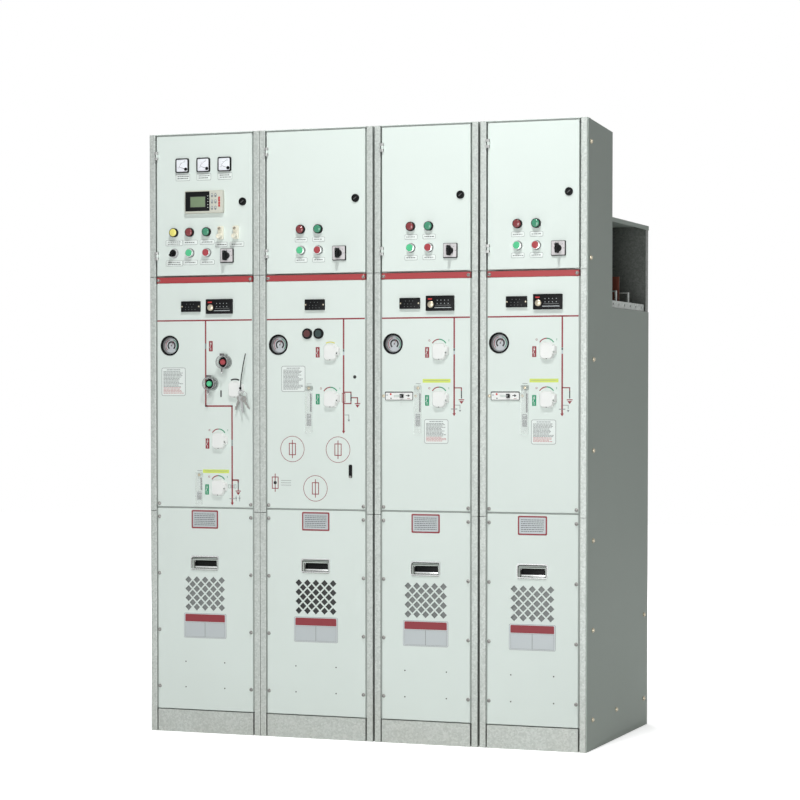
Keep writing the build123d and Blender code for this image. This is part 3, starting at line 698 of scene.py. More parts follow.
def cam_switch(panel):
    x = CENTRE[panel] + 89
    z = CAM_SWITCH_Z
    plate = Piece(f"cam_switch_plate_{panel + 1}")
    plate.slab(box_shape(x, z, 50, 50, 3), 0, 6, black_moulding, 0.6)
    plate.slab(box_shape(x - 0.6, z + 0.8, 46, 45.5, 2), 5.8, 6.35, switch_plate, 0.1)
    for turn in (90, 45, 0, 135):
        start, end = (around(x, z, reach, math.radians(turn)) for reach in (17.5, 20.5))
        plate.flat(line_shape(start, end, 1.4), 6.2, 6.5, ink_black)
    plate.done(f"door_{panel + 1}")
    knob = Piece(f"cam_switch_knob_{panel + 1}")
    stem = [(5, -16), (5, 6.8), (11.8, 6.8), (11.8, 14), (11, 17), (8.6, 18.4)]
    knob.turned(x, z, stem, black_moulding, 36)
    knob.slab(box_shape(x, z, 9, 34, 4.2), 12, 36, black_moulding, 2.4)
    knob.flat(box_shape(x, z + 11, 2.2, 8), 35.9, 36, label_white)
    knob.done(f"cam_switch_{panel + 1}", replaces=(f"cam_handle_{panel + 1}",))


for panel in range(4):
    cam_switch(panel)
print("cam switches:", 4)

# %% [markdown]
# The first door belongs to the breaker, so it has more to say: three ammeters, a protection relay with
# a small screen, two test links and a selector. Their faces are what an operator reads, so the depth of
# a bezel and the sheen of a window matter more here than anywhere else.

# %% Ammeters
def ammeter(number, x, z):
    piece = Piece(f"ammeter_{number}")
    piece.ring(box_shape(x, z, 50, 50, 6), box_shape(x, z, 43, 43, 4), 0, 9, black_moulding, 1)
    piece.slab(box_shape(x, z, 43.6, 43.6, 4), 0, 6.2, dial_white)
    pivot = (x + 14.5, z - 13)
    piece.flat(arc_shape(pivot[0], pivot[1], 26, 26.7, 96, 172), 6, 6.35, ink_black)
    for step in range(7):
        turn = math.radians(98 + 12 * step)
        start = around(*pivot, 27.2, turn)
        end = around(*pivot, 31 if step % 3 == 0 else 29.2, turn)
        piece.flat(line_shape(start, end, 0.7), 6, 6.35, ink_black)
    tip = (pivot[0] - 24 * math.cos(math.radians(18)), pivot[1] + 24 * math.sin(math.radians(18)))
    piece.flat(line_shape(pivot, tip, 1.1), 6.3, 6.9, ink_black)
    piece.turned(pivot[0], pivot[1], [(5.6, 6), (5.6, 8.4), (4.8, 9)], black_moulding, 24)
    piece.done("door_1")


METER_Z = 1989
METER_OFFSETS = (-81, 0, 81)
for number, offset in enumerate(METER_OFFSETS):
    ammeter(number + 1, CENTRE[0] + offset, METER_Z)
meter_labels = Piece("ammeter_labels")
for offset in METER_OFFSETS:
    small_label(meter_labels, CENTRE[0] + offset, METER_Z - 41, 55, 24, 2)
meter_labels.done("door_1")
print("ammeters:", 3)

# %% Protection relay
relay_x = CENTRE[0] + 5
relay_z = 1860
relay = Piece("protection_relay")
relay.slab(box_shape(relay_x, relay_z, 147, 79, 5), 0, 14, cream_moulding, 2.4)
relay.slab(box_shape(relay_x - 23.5, relay_z + 2, 93, 68, 1.5), 13.5, 14.5, black_moulding, 0.3)
relay.slab(box_shape(relay_x - 22, relay_z, 60, 39, 1), 14.2, 14.7, ink_black, 0.1)
relay.slab(box_shape(relay_x - 22, relay_z, 56, 35, 0.8), 14.2, 14.9, screen_green, 0.1)
for row in range(5):
    relay.turned(relay_x + 17, relay_z + 20 - 10 * row, [(1.3, 14.2), (1.3, 15)], label_white, 12)
for row in range(3):
    for column in range(2):
        key = (relay_x + 33 + 13 * column, relay_z + 22 - 22 * row)
        relay.slab(box_shape(key[0], key[1], 8, 14, 3.9), 13.8, 15.6, ink_grey, 0.6)
        relay.slab(box_shape(key[0], key[1] + 2, 4, 4, 1.9), 15.4, 16, label_white, 0.3)
for row in range(4):
    spot = box_shape(relay_x + 60, relay_z + 12.5 - 9 * row, 6.5, 8.2, 1.5)
    relay.slab(spot, 13.8, 15.4, red_moulding, 0.5)
relay.done("door_1")
print("relay in place")

# %% Test links and selector
links = Piece("test_links")
for link_x in (CENTRE[0] + 66, CENTRE[0] + 124):
    z = 1752
    links.slab(box_shape(link_x, z, 19, 46, 3), 0, 9, ivory_moulding, 1)
    links.slab(box_shape(link_x, z + 14, 16, 15, 2), 8.8, 17, ivory_moulding, 1.2)
    post = [(8.4, 8.5), (8.4, 26), (7.6, 28.4), (5, 29), (4.6, 26.5), (1, 26.5)]
    links.turned(link_x, z - 13, post, ivory_moulding, 24)
    links.turned(link_x, z + 14, [(5.6, 16.5), (5.6, 18.4), (4.8, 19.2)], screw_brass, 20)
    # The screw's slot is a dark raised bar on its head: painted shade in the slot.
    links.slab(line_shape((link_x - 4.5, z + 11.5), (link_x + 4.5, z + 16.5), 2), 18.8, 20, dark_steel, 0.2)
links.done("door_1")
selector_x = CENTRE[0] - 115
selector_plate = Piece("selector_bezel")
selector_rim = round_shape(selector_x, BUTTON_Z, 17)
selector_bore = round_shape(selector_x, BUTTON_Z, 5.3)
selector_plate.ring(selector_rim, selector_bore, 0, 0.3, satin_steel, 0.1)
small_label(selector_plate, selector_x, BUTTON_Z - 35, 66, 20, 2)
small_label(selector_plate, selector_x, LAMP_Z - 36, 66, 20, 2)
small_label(selector_plate, CENTRE[0] + 66, LAMP_Z - 45, 46, 17)
small_label(selector_plate, CENTRE[0] + 126, LAMP_Z - 45, 54, 17)
selector_plate.done("door_1")
selector = Piece("selector_knob")
collar = [(5, -16), (5, 0.4), (15, 0.4), (15, 7), (13.8, 8.6), (12.8, 9)]
selector.turned(selector_x, BUTTON_Z, collar, satin_steel, 32)
selector.turned(selector_x, BUTTON_Z, [(12.2, 8.8), (12.2, 12), (11, 13)], black_moulding, 32)
tilt = math.radians(50)
grip = ((-1, 1, 8, 12.5, black_moulding), (0.2, 0.95, 2, 23.9, label_white))
for from_middle, to_tip, wide, low_y, finish in grip:
    start = around(selector_x, BUTTON_Z, 12.5 * from_middle, tilt)
    end = around(selector_x, BUTTON_Z, 12.5 * to_tip, tilt)
    selector.flat(line_shape(start, end, wide), low_y, 24, finish)
selector.done("selector", replaces=("selector_handle",))
print("test links and selector in place")

# %% [markdown]
# Screws hold every plate. A real one is a pan head on a washer, and at this distance it is the glint on
# the head and the small shadow under it that say the plate is bolted on.

# %% Screws
def screw(piece, x, z, finish, size=5.2):
    piece.turned(x, z, [(size * 1.25, 0), (size * 1.25, 1), (size * 1.15, 1.3)], finish, 20)
    head = [(size, 1.1), (size, 4.4), (size * 0.88, 6.2), (size * 0.58, 7.4), (size * 0.2, 7.8)]
    piece.turned(x, z, head, finish, 20)
    # The recess is drawn as a dark raised cross on the head: painted shade in the recess.
    reach = size * 0.42
    for up in (reach, -reach):
        piece.flat(line_shape((x - reach, z - up), (x + reach, z + up), 1.5), 6.8, 7.95, dark_steel)


PLATE_SCREW_Z = (806, 760, 560, 360, 160)
STRIP_SCREW_Z = 1589.5
SCREW_INSET = 33.5
for panel in range(4):
    screws = Piece(f"front_screws_{panel + 1}")
    for x in (LEFT[panel] + SCREW_INSET, LEFT[panel] + WIDTH[panel] - SCREW_INSET):
        for z in PLATE_SCREW_Z:
            screw(screws, x, z, screw_steel)
        screw(screws, x, STRIP_SCREW_Z, screw_steel, 4.8)
    screws.done(ROOT)
print("front screws:", 4 * 12)

# %% Side screws
SIDE_SCREWS = [(36, 2023), (36, 1641)]
SIDE_SCREWS += [(73, z) for z in (1305, 1002, 702, 402, 102)]
SIDE_SCREWS += [(367, 102), (728, 401), (728, 99)]
SIDE_HEAD = ((8.6, 0), (8.6, 1.1), (7, 1.3), (6.8, 4), (5.6, 5.8), (3.4, 6.9), (1.2, 7.2))
for side, sign in (("left", -1), ("right", 1)):
    face_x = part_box(f"side_cover_{side}")[0 if sign < 0 else 1].x / MM
    piece = Piece(f"side_screws_{side}")
    for behind, z in SIDE_SCREWS:
        loops = []
        for radius, proud in SIDE_HEAD:
            rim = round_shape(FRONT + behind, z, radius, 20)()
            loops.append([Vector((face_x + sign * proud, y, level)) * MM for y, level in rim])
        piece.skin(loops, screw_brass)
    piece.done(ROOT)
print("side screws:", 2 * len(SIDE_SCREWS))

# %% [markdown]
# Nobody photographs the back, but somebody has to open it. Each back plate and each length of the duct
# is a plain galvanised sheet on a row of screws.

# %% Back plates and screws
REAR = -780
REAR_HEAD = ((6.8, 0), (6.8, 1), (5.4, 1.2), (5.2, 4), (3.6, 5.2), (1, 5.6))
backs = Piece("duct_back_plates")
rear_screws = Piece("rear_screws")
for panel in range(4):
    low_x = LEFT[panel] + 1.5
    high_x = LEFT[panel] + WIDTH[panel] - 1.5
    middle = (low_x + high_x) / 2
    backs.flat(box_shape(middle, 1640, high_x - low_x, 302, 2), REAR, REAR - 1.2, galvanised)
    spots = [(x, z, 1.2) for x in (low_x + 16, middle, high_x - 16) for z in (1505, 1775)]
    spots += [(x, z, 0) for x in (low_x + 16, high_x - 16) for z in (1450, 1110, 770, 430, 90)]
    for x, z, lift in spots:
        head = [(radius, REAR - lift - out) for radius, out in REAR_HEAD]
        rear_screws.turned(x, z, head, screw_steel, 18)
backs.done(ROOT)
rear_screws.done(ROOT)
print("screws on the back:", 4 * 16)

# %% [markdown]
# Between a plate and its posts, a little behind the face, lies a grey strip. It is painted shade: it
# gives the gap its grey where nothing dark shows.

# %% Seals
POST_WIDTH = 22.3
GAP_STRIP_BACK = -4.6
shade_strips = Piece("gap_shade_strips")
for panel in range(4):
    left = LEFT[panel] + POST_WIDTH
    right = LEFT[panel] + WIDTH[panel] - POST_WIDTH
    for low_z, high_z in ((82, 789), (796, 1579)):
        for x in (left + 2.2, right - 2.2):
            shade_strips.slab(box_shape(x, (low_z + high_z) / 2, 4.4, high_z - low_z), GAP_STRIP_BACK, -2.4, gap_shade_grey, 0.5)
    shade_strips.slab(box_shape((left + right) / 2, 792.5, right - left, 4.6), GAP_STRIP_BACK, -2.4, gap_shade_grey, 0.5)
    shade_strips.slab(box_shape((left + right) / 2, 2096.4, right - left - 6, 4.6), GAP_STRIP_BACK, -2, gap_shade_grey, 0.5)
shade_strips.done(ROOT)
print("seals:", 4)

# %% [markdown]
# Now the mechanism panels. The printed one-line diagram is the heart of the front: it shows, in lines an
# operator can follow with a finger, how power comes from the busbars, past a switch, to the cable. Each
# line is a film a quarter of a millimetre thick, so it catches no shadow but is real geometry.

# %% Printed diagram
FILM = 0.25


def film(piece, shape, finish, high=FILM):
    piece.flat(shape, 0, high, finish)


def stroke(piece, points, finish, width=5.4, high=FILM):
    for start, end in zip(points, points[1:]):
        along = (Vector(end) - Vector(start)).normalized() * width / 2
        film(piece, line_shape(tuple(Vector(start) - along), tuple(Vector(end) + along), width), finish, high)


def arrow_down(piece, x, z, finish, size=6):
    top = z + size * 1.6
    film(piece, poly_shape([(x - size, top), (x, z), (x + size, top)]), finish, FILM * 1.4)


def earth_mark(piece, x, z, finish, size=10):
    film(piece, line_shape((x - size, z), (x + size, z), 3.4), finish)
    film(piece, poly_shape([(x - size * 0.8, z - 4), (x, z - 14), (x + size * 0.8, z - 4)]), finish)


def fuse_mark(piece, x, z, width, height, finish, line=2.8):
    inner = box_shape(x, z, width - 2 * line, height - 2 * line)
    piece.ring(box_shape(x, z, width, height), inner, 0, FILM, finish, 0)
    film(piece, line_shape((x, z - height * 0.75), (x, z + height * 0.75), line), finish, FILM * 1.4)


def state_mark(piece, x, z, finish):
    film(piece, box_shape(x, z, 14.5, 36, 1), finish)
    stroke(piece, [(x, z + 14), (x, z + 5), (x - 4, z - 5)], label_white, 1.6, FILM * 1.8)
    stroke(piece, [(x, z - 6), (x, z - 14)], label_white, 1.6, FILM * 1.8)
    film(piece, box_shape(x, z + 8, 5, 5, 1.2), label_white, FILM * 1.8)


def turn_arcs(piece, x, z, left_finish, right_finish):
    film(piece, arc_shape(x - 2, z + 12, 27, 30.6, 90, 147), left_finish)
    film(piece, arc_shape(x - 2, z + 12, 27, 30.6, 33, 90), right_finish)
    outer, inner = (round_shape(x - 37, z + 37, radius, 20) for radius in (3.4, 2.2))
    piece.ring(outer, inner, 0, FILM, left_finish, 0)
    film(piece, line_shape((x + 33, z + 33.6), (x + 33, z + 40.4), 1.4), right_finish)


def feeder(piece, x, foot, tip):
    lengths = [(1445, 1347, ink_red), (1341, 1338, ink_dark), (1332, 1326, ink_grey_pale)]
    lengths.append((1321, foot, ink_red))
    for top, bottom, finish in lengths:
        stroke(piece, [(x, top), (x, bottom)], finish)
    arrow_down(piece, x, tip, ink_red)


def words(piece, start, end, level, tall, finish, proud):
    place = start
    while place < end - 3:
        length = min(chance.uniform(3.5, 11), end - place)
        piece.flat(line_shape((place, level), (place + length, level), tall), proud - 0.15, proud, finish)
        place += length + 1.3


def ruled_plate(piece, x, z, width, height, rows, red_rows=0):
    piece.flat(box_shape(x, z, width, height, 7), 0, 0.35, ink_grey)
    piece.flat(box_shape(x, z, width - 3, height - 3, 5.8), 0, 0.5, label_white)
    top = z + height / 2 - 7.5
    words(piece, x - width * 0.28, x + width * 0.28, top, 2.6, ink_grey, 0.64)
    for row in range(rows):
        level = top - 6.5 - row * (height - 19) / rows
        ragged = width * chance.uniform(0.2, 0.43)
        finish = ink_red_pale if row >= rows - red_rows else ink_grey
        words(piece, x - width * 0.42, x + ragged, level, 2.3, finish, 0.64)


for panel in range(4):
    layer = Piece(f"diagram_{panel + 1}", LEFT[panel])
    film(layer, line_shape((28, 1448), (WIDTH[panel] - 28, 1448), 5), ink_red)
    if panel == 0:
        stroke(layer, [(215, 1445), (215, 1370)], ink_red)
        stroke(layer, [(215, 1366), (215, 1350)], ink_grey)
        stroke(layer, [(215, 1346), (215, 1149), (315.5, 1149), (315.5, 1034)], ink_red)
        stroke(layer, [(315.5, 1029), (315.5, 1012)], ink_grey)
        stroke(layer, [(315.5, 1007), (315.5, 812)], ink_red)
        arrow_down(layer, 315.5, 803, ink_red)
        stroke(layer, [(315.5, 891), (338.5, 891), (338.5, 886)], ink_red)
        stroke(layer, [(338.5, 884), (338.5, 862)], ink_black, 3.4)
        stroke(layer, [(338.5, 862), (338.5, 856)], ink_red, 3)
        earth_mark(layer, 338.5, 853, ink_red)
        for offset in (-11, 0, 11):
            outer = box_shape(316 + offset, 869, 8, 13)
            inner = box_shape(316 + offset, 869, 5.4, 10.4)
            layer.ring(outer, inner, 0, FILM * 1.5, ink_grey, 0)
        stroke(layer, [(306, 826), (326, 826)], ink_grey, 2, FILM * 1.5)
        for offset in (15, 28):
            stroke(layer, [(315.5 + offset, 836), (315.5 + offset, 818)], ink_grey, 1.8)
            drop = [(311.5 + offset, 830), (319.5 + offset, 830), (315.5 + offset, 822)]
            film(layer, poly_shape(drop), ink_grey, FILM * 1.5)
        state_mark(layer, 235, 1358, ink_red)
        state_mark(layer, 221, 1018, ink_red)
        state_mark(layer, 219, 857, ink_green)
        film(layer, arc_shape(327, 1207, 33, 38, 64, 116), ink_black)
        turn_arcs(layer, 266, 1028, ink_red, ink_green)
        turn_arcs(layer, 264, 865, ink_red, ink_green)
        ruled_plate(layer, 90.5, 1234, 93, 99, 17, 5)
        film(layer, box_shape(253.5, 921, 101, 12.5), ink_lime)
        film(layer, line_shape((210, 922), (297, 922), 1.2), ink_grey, FILM * 1.5)
        film(layer, box_shape(273.5, 1192, 6, 25, 2.5), ink_grey)
        film(layer, box_shape(273.5, 1192, 4, 22, 1.9), ink_black, FILM * 1.5)
    elif panel == 1:
        feeder(layer, 314, 1064, 1055)
        stroke(layer, [(314, 1197), (341, 1197), (341, 1190)], ink_red, 3.6)
        stroke(layer, [(341, 1188), (341, 1168)], ink_black, 4.2)
        stroke(layer, [(341, 1166), (341, 1158), (314, 1158)], ink_red, 3.6)
        stroke(layer, [(343, 1178), (365, 1178), (365, 1160)], ink_red, 3.6)
        earth_mark(layer, 365, 1158, ink_red)
        fuse_mark(layer, 314, 1178, 13, 32, ink_red, 1.8)
        stroke(layer, [(316, 1119), (333, 1119), (333, 1104)], ink_grey, 1.8)
        arrow_down(layer, 333, 1096, ink_grey, 4.5)
        state_mark(layer, 218, 1334, ink_red)
        state_mark(layer, 218, 1173, ink_green)
        film(layer, arc_shape(265, 1334, 33, 36.5, 62, 118), ink_yellow)
        turn_arcs(layer, 267, 1173, ink_red, ink_green)
        ruled_plate(layer, 127, 1243, 89, 89, 16)
        for x, z in ((123, 1001), (293, 1000), (209, 866)):
            layer.ring(round_shape(x, z, 45, 48), round_shape(x, z, 43.2, 48), 0, FILM, ink_red, 0)
            fuse_mark(layer, x, z, 26, 42, ink_red)
        fuse_mark(layer, 58, 884, 25, 42, ink_red)
        film(layer, round_shape(58, 884, 6, 16), ink_black, FILM * 2)
        for row in range(3):
            level = 892 - 8 * row
            film(layer, line_shape((80, level), (118, level), 1.4), ink_grey)
        film(layer, round_shape(355, 1249, 6, 20), ink_black, FILM * 2)
    else:
        feeder(layer, 288, 1126, 1116)
        stroke(layer, [(288, 1211), (314, 1211), (314, 1202)], ink_red, 3.6)
        stroke(layer, [(314, 1199), (314, 1177)], ink_black, 3.6)
        earth_mark(layer, 314, 1171, ink_red)
        stroke(layer, [(290, 1153), (309, 1153), (309, 1142)], ink_grey, 1.8)
        arrow_down(layer, 309, 1130, ink_grey, 4.5)
        stroke(layer, [(278, 1140), (298, 1140)], ink_grey, 2.6, FILM * 1.5)
        state_mark(layer, 191, 1331, ink_red)
        state_mark(layer, 191, 1169, ink_green)
        turn_arcs(layer, 236, 1334, ink_red, ink_green)
        turn_arcs(layer, 236, 1173, ink_red, ink_green)
        ruled_plate(layer, 224, 1064, 86, 82, 15, 4)
        film(layer, box_shape(225, 1235, 100, 12.5), ink_lime)
        film(layer, line_shape((180, 1236), (268, 1236), 1.2), ink_grey, FILM * 1.5)
    layer.done(ROOT)
print("diagrams:", 4)

# %% [markdown]
# Gauges and indicators. The pressure gauge has a black rim round a bright, deep well, with the dial at its
# foot; the black wall down the well is painted shade. Its upper left always looks dark, because the rim
# shades the well. The two indicators are black boxes, with a round pale button on the larger one.

# %% Pressure gauges
GAUGE_X = [76.5, 71, 68, 68]
GAUGE_Z = 1361
gauges = Piece("pressure_gauges")
for panel in range(4):
    x = LEFT[panel] + GAUGE_X[panel]
    # The first ring is the black rim; the second, a black tube down the well's wall, is painted shade.
    for outer, inner, low_y, high_y, edge in ((35.4, 30.6, 0, 2.8, 1.2), (30.7, 29.4, -21, 1, 0.4)):
        rim, bore = (round_shape(x, GAUGE_Z, radius, 48) for radius in (outer, inner))
        gauges.ring(rim, bore, low_y, high_y, black_moulding, edge)
    well = [(29.6, -17), (29.6, -6), (28.4, -5.6), (25.8, -10.5), (25.4, -14.5)]
    gauges.turned(x, GAUGE_Z, well, satin_steel, 48)
    gauges.turned(x, GAUGE_Z, [(29, -21.6), (29, -18), (25.6, -14.4), (24.6, -13.2)], gauge_dial, 48)
    gauges.flat(arc_shape(x, GAUGE_Z, 10.6, 15.8, -52, 232, 28), -13.4, -12.7, ink_black)
    gauges.flat(arc_shape(x, GAUGE_Z, 20.4, 22.6, 105, 225, 16), -13.4, -12.8, ink_red)
    gauges.flat(arc_shape(x, GAUGE_Z, 20.4, 22.6, -45, 75, 16), -13.4, -12.8, ink_green)
    gauges.flat(line_shape((x, GAUGE_Z), (x + 8, GAUGE_Z + 16), 1.2), -12.6, -12.1, ink_red)
    gauges.turned(x, GAUGE_Z, [(2.4, -13.4), (2.4, -11.8), (1.8, -11.4)], dark_steel, 16)
gauges.done(ROOT, replaces=("gas_gauges",))
print("gauges:", 4)

# %% Voltage and fault indicators
VOLT_X = [160, 209, 130, 130]
FAULT_X = [270, None, 239, 239]
INDICATOR_Z = 1497
DOT_ROWS = ((8, (-14, 0, 12)), (-2, (-18, -6, 6)), (-11, (-18, -6, 6, 18)))
volt_boxes = Piece("voltage_indicator_boxes")
fault_boxes = Piece("fault_indicator_boxes")
for panel in range(4):
    x = LEFT[panel] + VOLT_X[panel]
    z = INDICATOR_Z
    volt_boxes.slab(box_shape(x, z, 73, 37, 2), 0, 8, black_moulding, 0.8)
    for offset in (-32.5, 32.5):
        volt_boxes.turned(x + offset, z, [(2.6, 7.6), (2.6, 8.6), (1.6, 9)], screw_brass, 14)
    for row, columns in DOT_ROWS:
        for offset in columns:
            volt_boxes.turned(x + offset, z + row, [(1.5, 7.8), (1.5, 8.5), (1, 8.8)], ink_dark, 10)
    if FAULT_X[panel]:
        x = LEFT[panel] + FAULT_X[panel]
        z = INDICATOR_Z - 1
        fault_boxes.slab(box_shape(x, z, 100, 51, 2), 0, 10, black_moulding, 0.8)
        fault_boxes.flat(box_shape(x - 34, z + 14.5, 15, 4.5, 1), 9.8, 10.2, red_moulding)
        dome = [(11.5, 9.8), (11.5, 12), (10.4, 14), (7.5, 15.6), (4, 16.4), (1, 16.6)]
        fault_boxes.turned(x - 31, z - 4, dome, screw_brass, 28)
        for row in range(2):
            for column in range(4):
                spot = (x - 8 + 13 * column, z + 10 - 11 * row)
                fault_boxes.turned(spot[0], spot[1], [(1.4, 9.8), (1.4, 10.5), (1, 10.8)], label_grey, 10)
        fault_boxes.flat(line_shape((x - 18, z - 15), (x + 42, z - 15), 2), 9.8, 10.1, label_grey)
        fault_boxes.flat(line_shape((x - 14, z - 7), (x + 40, z - 7), 0.9), 9.8, 10.1, ink_grey)
volt_boxes.done(ROOT, replaces=("voltage_indicators",))
fault_boxes.done(ROOT, replaces=("fault_indicators",))
print("indicators:", 4 + 3)

# %% [markdown]
# Down on the cable covers: a rating plate with broken ruled lines, a stamped pull handle and a bare plate
# in two halves. The handle is pressed from one bright sheet, so its lip slopes in to a black cup.

# %% Rating and notice plates
RATING_Z = 752
NOTICE_Z = 378
plates = Piece("cover_plates")
for panel in range(4):
    x = CENTRE[panel]
    plates.flat(box_shape(x, RATING_Z, 102, 64, 4), 0, 0.8, ink_red)
    plates.flat(box_shape(x, RATING_Z, 92, 54, 2), 0, 1.1, label_grey)
    for row in range(7):
        level = RATING_Z + 19 - 6.4 * row
        words(plates, x - 40, x + 40, level, 2.2, ink_dark, 1.25)
    plates.flat(box_shape(x, NOTICE_Z, 163, 87, 5), 0, 0.5, ink_grey)
    plates.flat(box_shape(x, NOTICE_Z, 161, 85, 4), 0, 0.8, label_border)
    plates.flat(box_shape(x, NOTICE_Z + 27, 153, 26, 4), 0, 0.95, ink_red)
    plates.flat(box_shape(x, NOTICE_Z + 23, 153, 18, 0.5), 0, 0.9, ink_red)
    low_z = NOTICE_Z - 14
    plates.ring(box_shape(x, low_z, 153, 52, 1.5), box_shape(x, low_z, 151, 50, 1), 0.7, 0.95, ink_grey, 0)
    plates.flat(box_shape(x, low_z, 150.6, 49.6, 1), 0.7, 0.92, label_grey)
    plates.flat(line_shape((x, low_z + 25), (x, low_z - 25), 2), 0.8, 1.05, ink_grey)
    for offset in (-75, 75):
        for z in (250, 160):
            plates.flat(round_shape(x + offset, z, 2.4, 12), 0, 0.3, ink_black)
plates.done(ROOT)
print("plates:", 8)

# %% Pull handle linings and vent screens
HANDLE_Z = 594
VENT_Z = 491
SCREEN_BACK = -5.9
linings = Piece("pull_handle_linings")
screens = Piece("vent_screens")
for panel in range(4):
    x = CENTRE[panel]
    outer = box_shape(x, HANDLE_Z, 85.6, 23.6, 6.8)
    inner = box_shape(x, HANDLE_Z, 83.4, 21.4, 5.7)
    linings.ring(outer, inner, -15.9, -7.4, black_moulding, 0.3)
    linings.slab(box_shape(x, HANDLE_Z, 85, 23, 6.5), -15.95, -14.6, black_moulding)
    for row in range(3):
        linings.slab(box_shape(x, HANDLE_Z - 6.5 + 6.5 * row, 70, 2.2, 1), -14.8, -13.6, black_moulding, 0.3)
    linings.slab(box_shape(x, HANDLE_Z - 9.4, 84, 4.8, 2), -8.2, -7.2, bright_sheet, 0.2)
    mouth = box_shape(x, HANDLE_Z, 99.2, 40.8)()
    cup = box_shape(x, HANDLE_Z + 0.2, 84.4, 22.4)()
    # The lip's four slopes carry painted light and shade: lit on the lower slope, which faces up, mid on the
    # sides, shaded on the upper slope.
    for side, finish in enumerate((slope_lit, slope_mid, slope_shaded, slope_mid)):
        there = (side + 1) % 4
        loops = []
        for lift in (0, 0.3):
            corners = ((mouth[side], 3.9), (mouth[there], 3.9), (cup[there], -7.6), (cup[side], -7.6))
            loops.append([at(point[0], point[1], proud - lift) for point, proud in corners])
        linings.skin(loops, finish)
    finish = mesh_dark if panel == 1 else mesh_grey
    screens.slab(box_shape(x, VENT_Z, 168, 136, 3), SCREEN_BACK, SCREEN_BACK + 1.2, finish)
    for offset in (-80, 80):
        screens.slab(box_shape(x + offset, VENT_Z, 6, 132, 1), SCREEN_BACK + 0.2, -2.1, inner_steel)
linings.done(ROOT)
screens.done(ROOT)
print("handle linings and vent screens:", 4)

# %% [markdown]
# The breaker's two push buttons sit deep in clear guards, so nobody trips it with an elbow. The front
# edge of each guard carries a painted highlight, a bright metal ring, with a dark ring of painted shade
# outside it. The fuse panel has two flat buttons and a small lever instead.

# %% Push buttons
def press_cap(colour, x, z, finish):
    piece = Piece(f"press_cap_{colour}")
    stem = [(9.8, -21.6), (9.8, 26.6), (9.2, 27.8), (7.4, 28.2), (6.8, 27.7), (2, 27.7)]
    piece.turned(x, z, stem, finish, 32)
    piece.done(f"press_button_{colour}_body", replaces=(f"press_button_{colour}",))


PRESS = {"red": (LEFT[0] + 292, 1302, button_red), "green": (LEFT[0] + 240, 1227, button_green)}
# Rings of a guard: the black bezel round the button, a bright ring that is a painted highlight on the clear
# front edge, a dark ring of painted shade just outside it, and a dark ring at its foot.
GUARD_RINGS = (
    (16.4, 10.6, 1.5, 25.5, black_moulding, 1.6),
    (22.3, 20.2, 33.4, 35.5, satin_steel, 0.5),
    (23.1, 22.2, 32.4, 35.3, dark_steel, 0.3),
    (23.6, 22.6, 0, 1.6, dark_steel, 0.3),
)
bezels = Piece("press_bezels")
for colour, (x, z, finish) in PRESS.items():
    press_cap(colour, x, z, finish)
    bezels.turned(x, z, [(20.2, 0.05), (20.2, 1.6), (19.6, 2), (10.6, 2)], black_moulding, 40)
    for outer, inner, low_y, high_y, ring_finish, edge in GUARD_RINGS:
        rim, bore = (round_shape(x, z, radius, 40) for radius in (outer, inner))
        bezels.ring(rim, bore, low_y, high_y, ring_finish, edge)
    bezels.slab(box_shape(x, z + 26, 15.4, 7.4, 1.5), 29, 35.4, dark_steel, 0.6)
    bezels.slab(box_shape(x + 10, z + 27.6, 12, 1.6, 0.6), 31, 33.5, dark_steel, 0.3)
    bezels.slab(box_shape(x, z - 30.5, 5, 17, 1.2), 31.2, 35.4, dark_steel, 0.5)
    bezels.turned(x, z - 36.5, [(2.6, 30.8), (2.6, 35.6), (2, 36)], chrome, 16)
bezels.done(ROOT, replaces=("press_bezels",))
TRIP_Z = 1398
trips = Piece("flat_trip_buttons")
for x, finish in ((LEFT[1] + 180, lamp_dark_red), (LEFT[1] + 222, lamp_dark_green)):
    trips.turned(x, TRIP_Z, [(18.4, 0), (18.4, 5.2), (17.4, 6.6), (14.6, 6.8)], black_moulding, 36)
    trips.turned(x, TRIP_Z, [(12.4, 5), (12.2, 7.6), (11, 8.6), (7, 9)], finish, 36)
LEVER_Z = 926
lever_x = CENTRE[1] + 129
trips.slab(box_shape(lever_x, LEVER_Z, 13, 46, 4), 0, 0.9, black_moulding, 0.3)
trips.slab(box_shape(lever_x, LEVER_Z + 3, 6, 34, 2.8), 0.8, 9, black_moulding, 1.2)
trips.turned(lever_x, LEVER_Z - 19, [(4.2, 0.8), (4.2, 4), (3.2, 5)], screw_steel, 20)
trips.done(ROOT, replaces=("trip_fittings",))
print("push buttons:", 4)

# %% [markdown]
# A clear flap covers each position window. Through it an operator reads a small pointer, a dark slot
# in the panel. Next to it, on the cable switches, a plate carries the sliding padlock bolt.

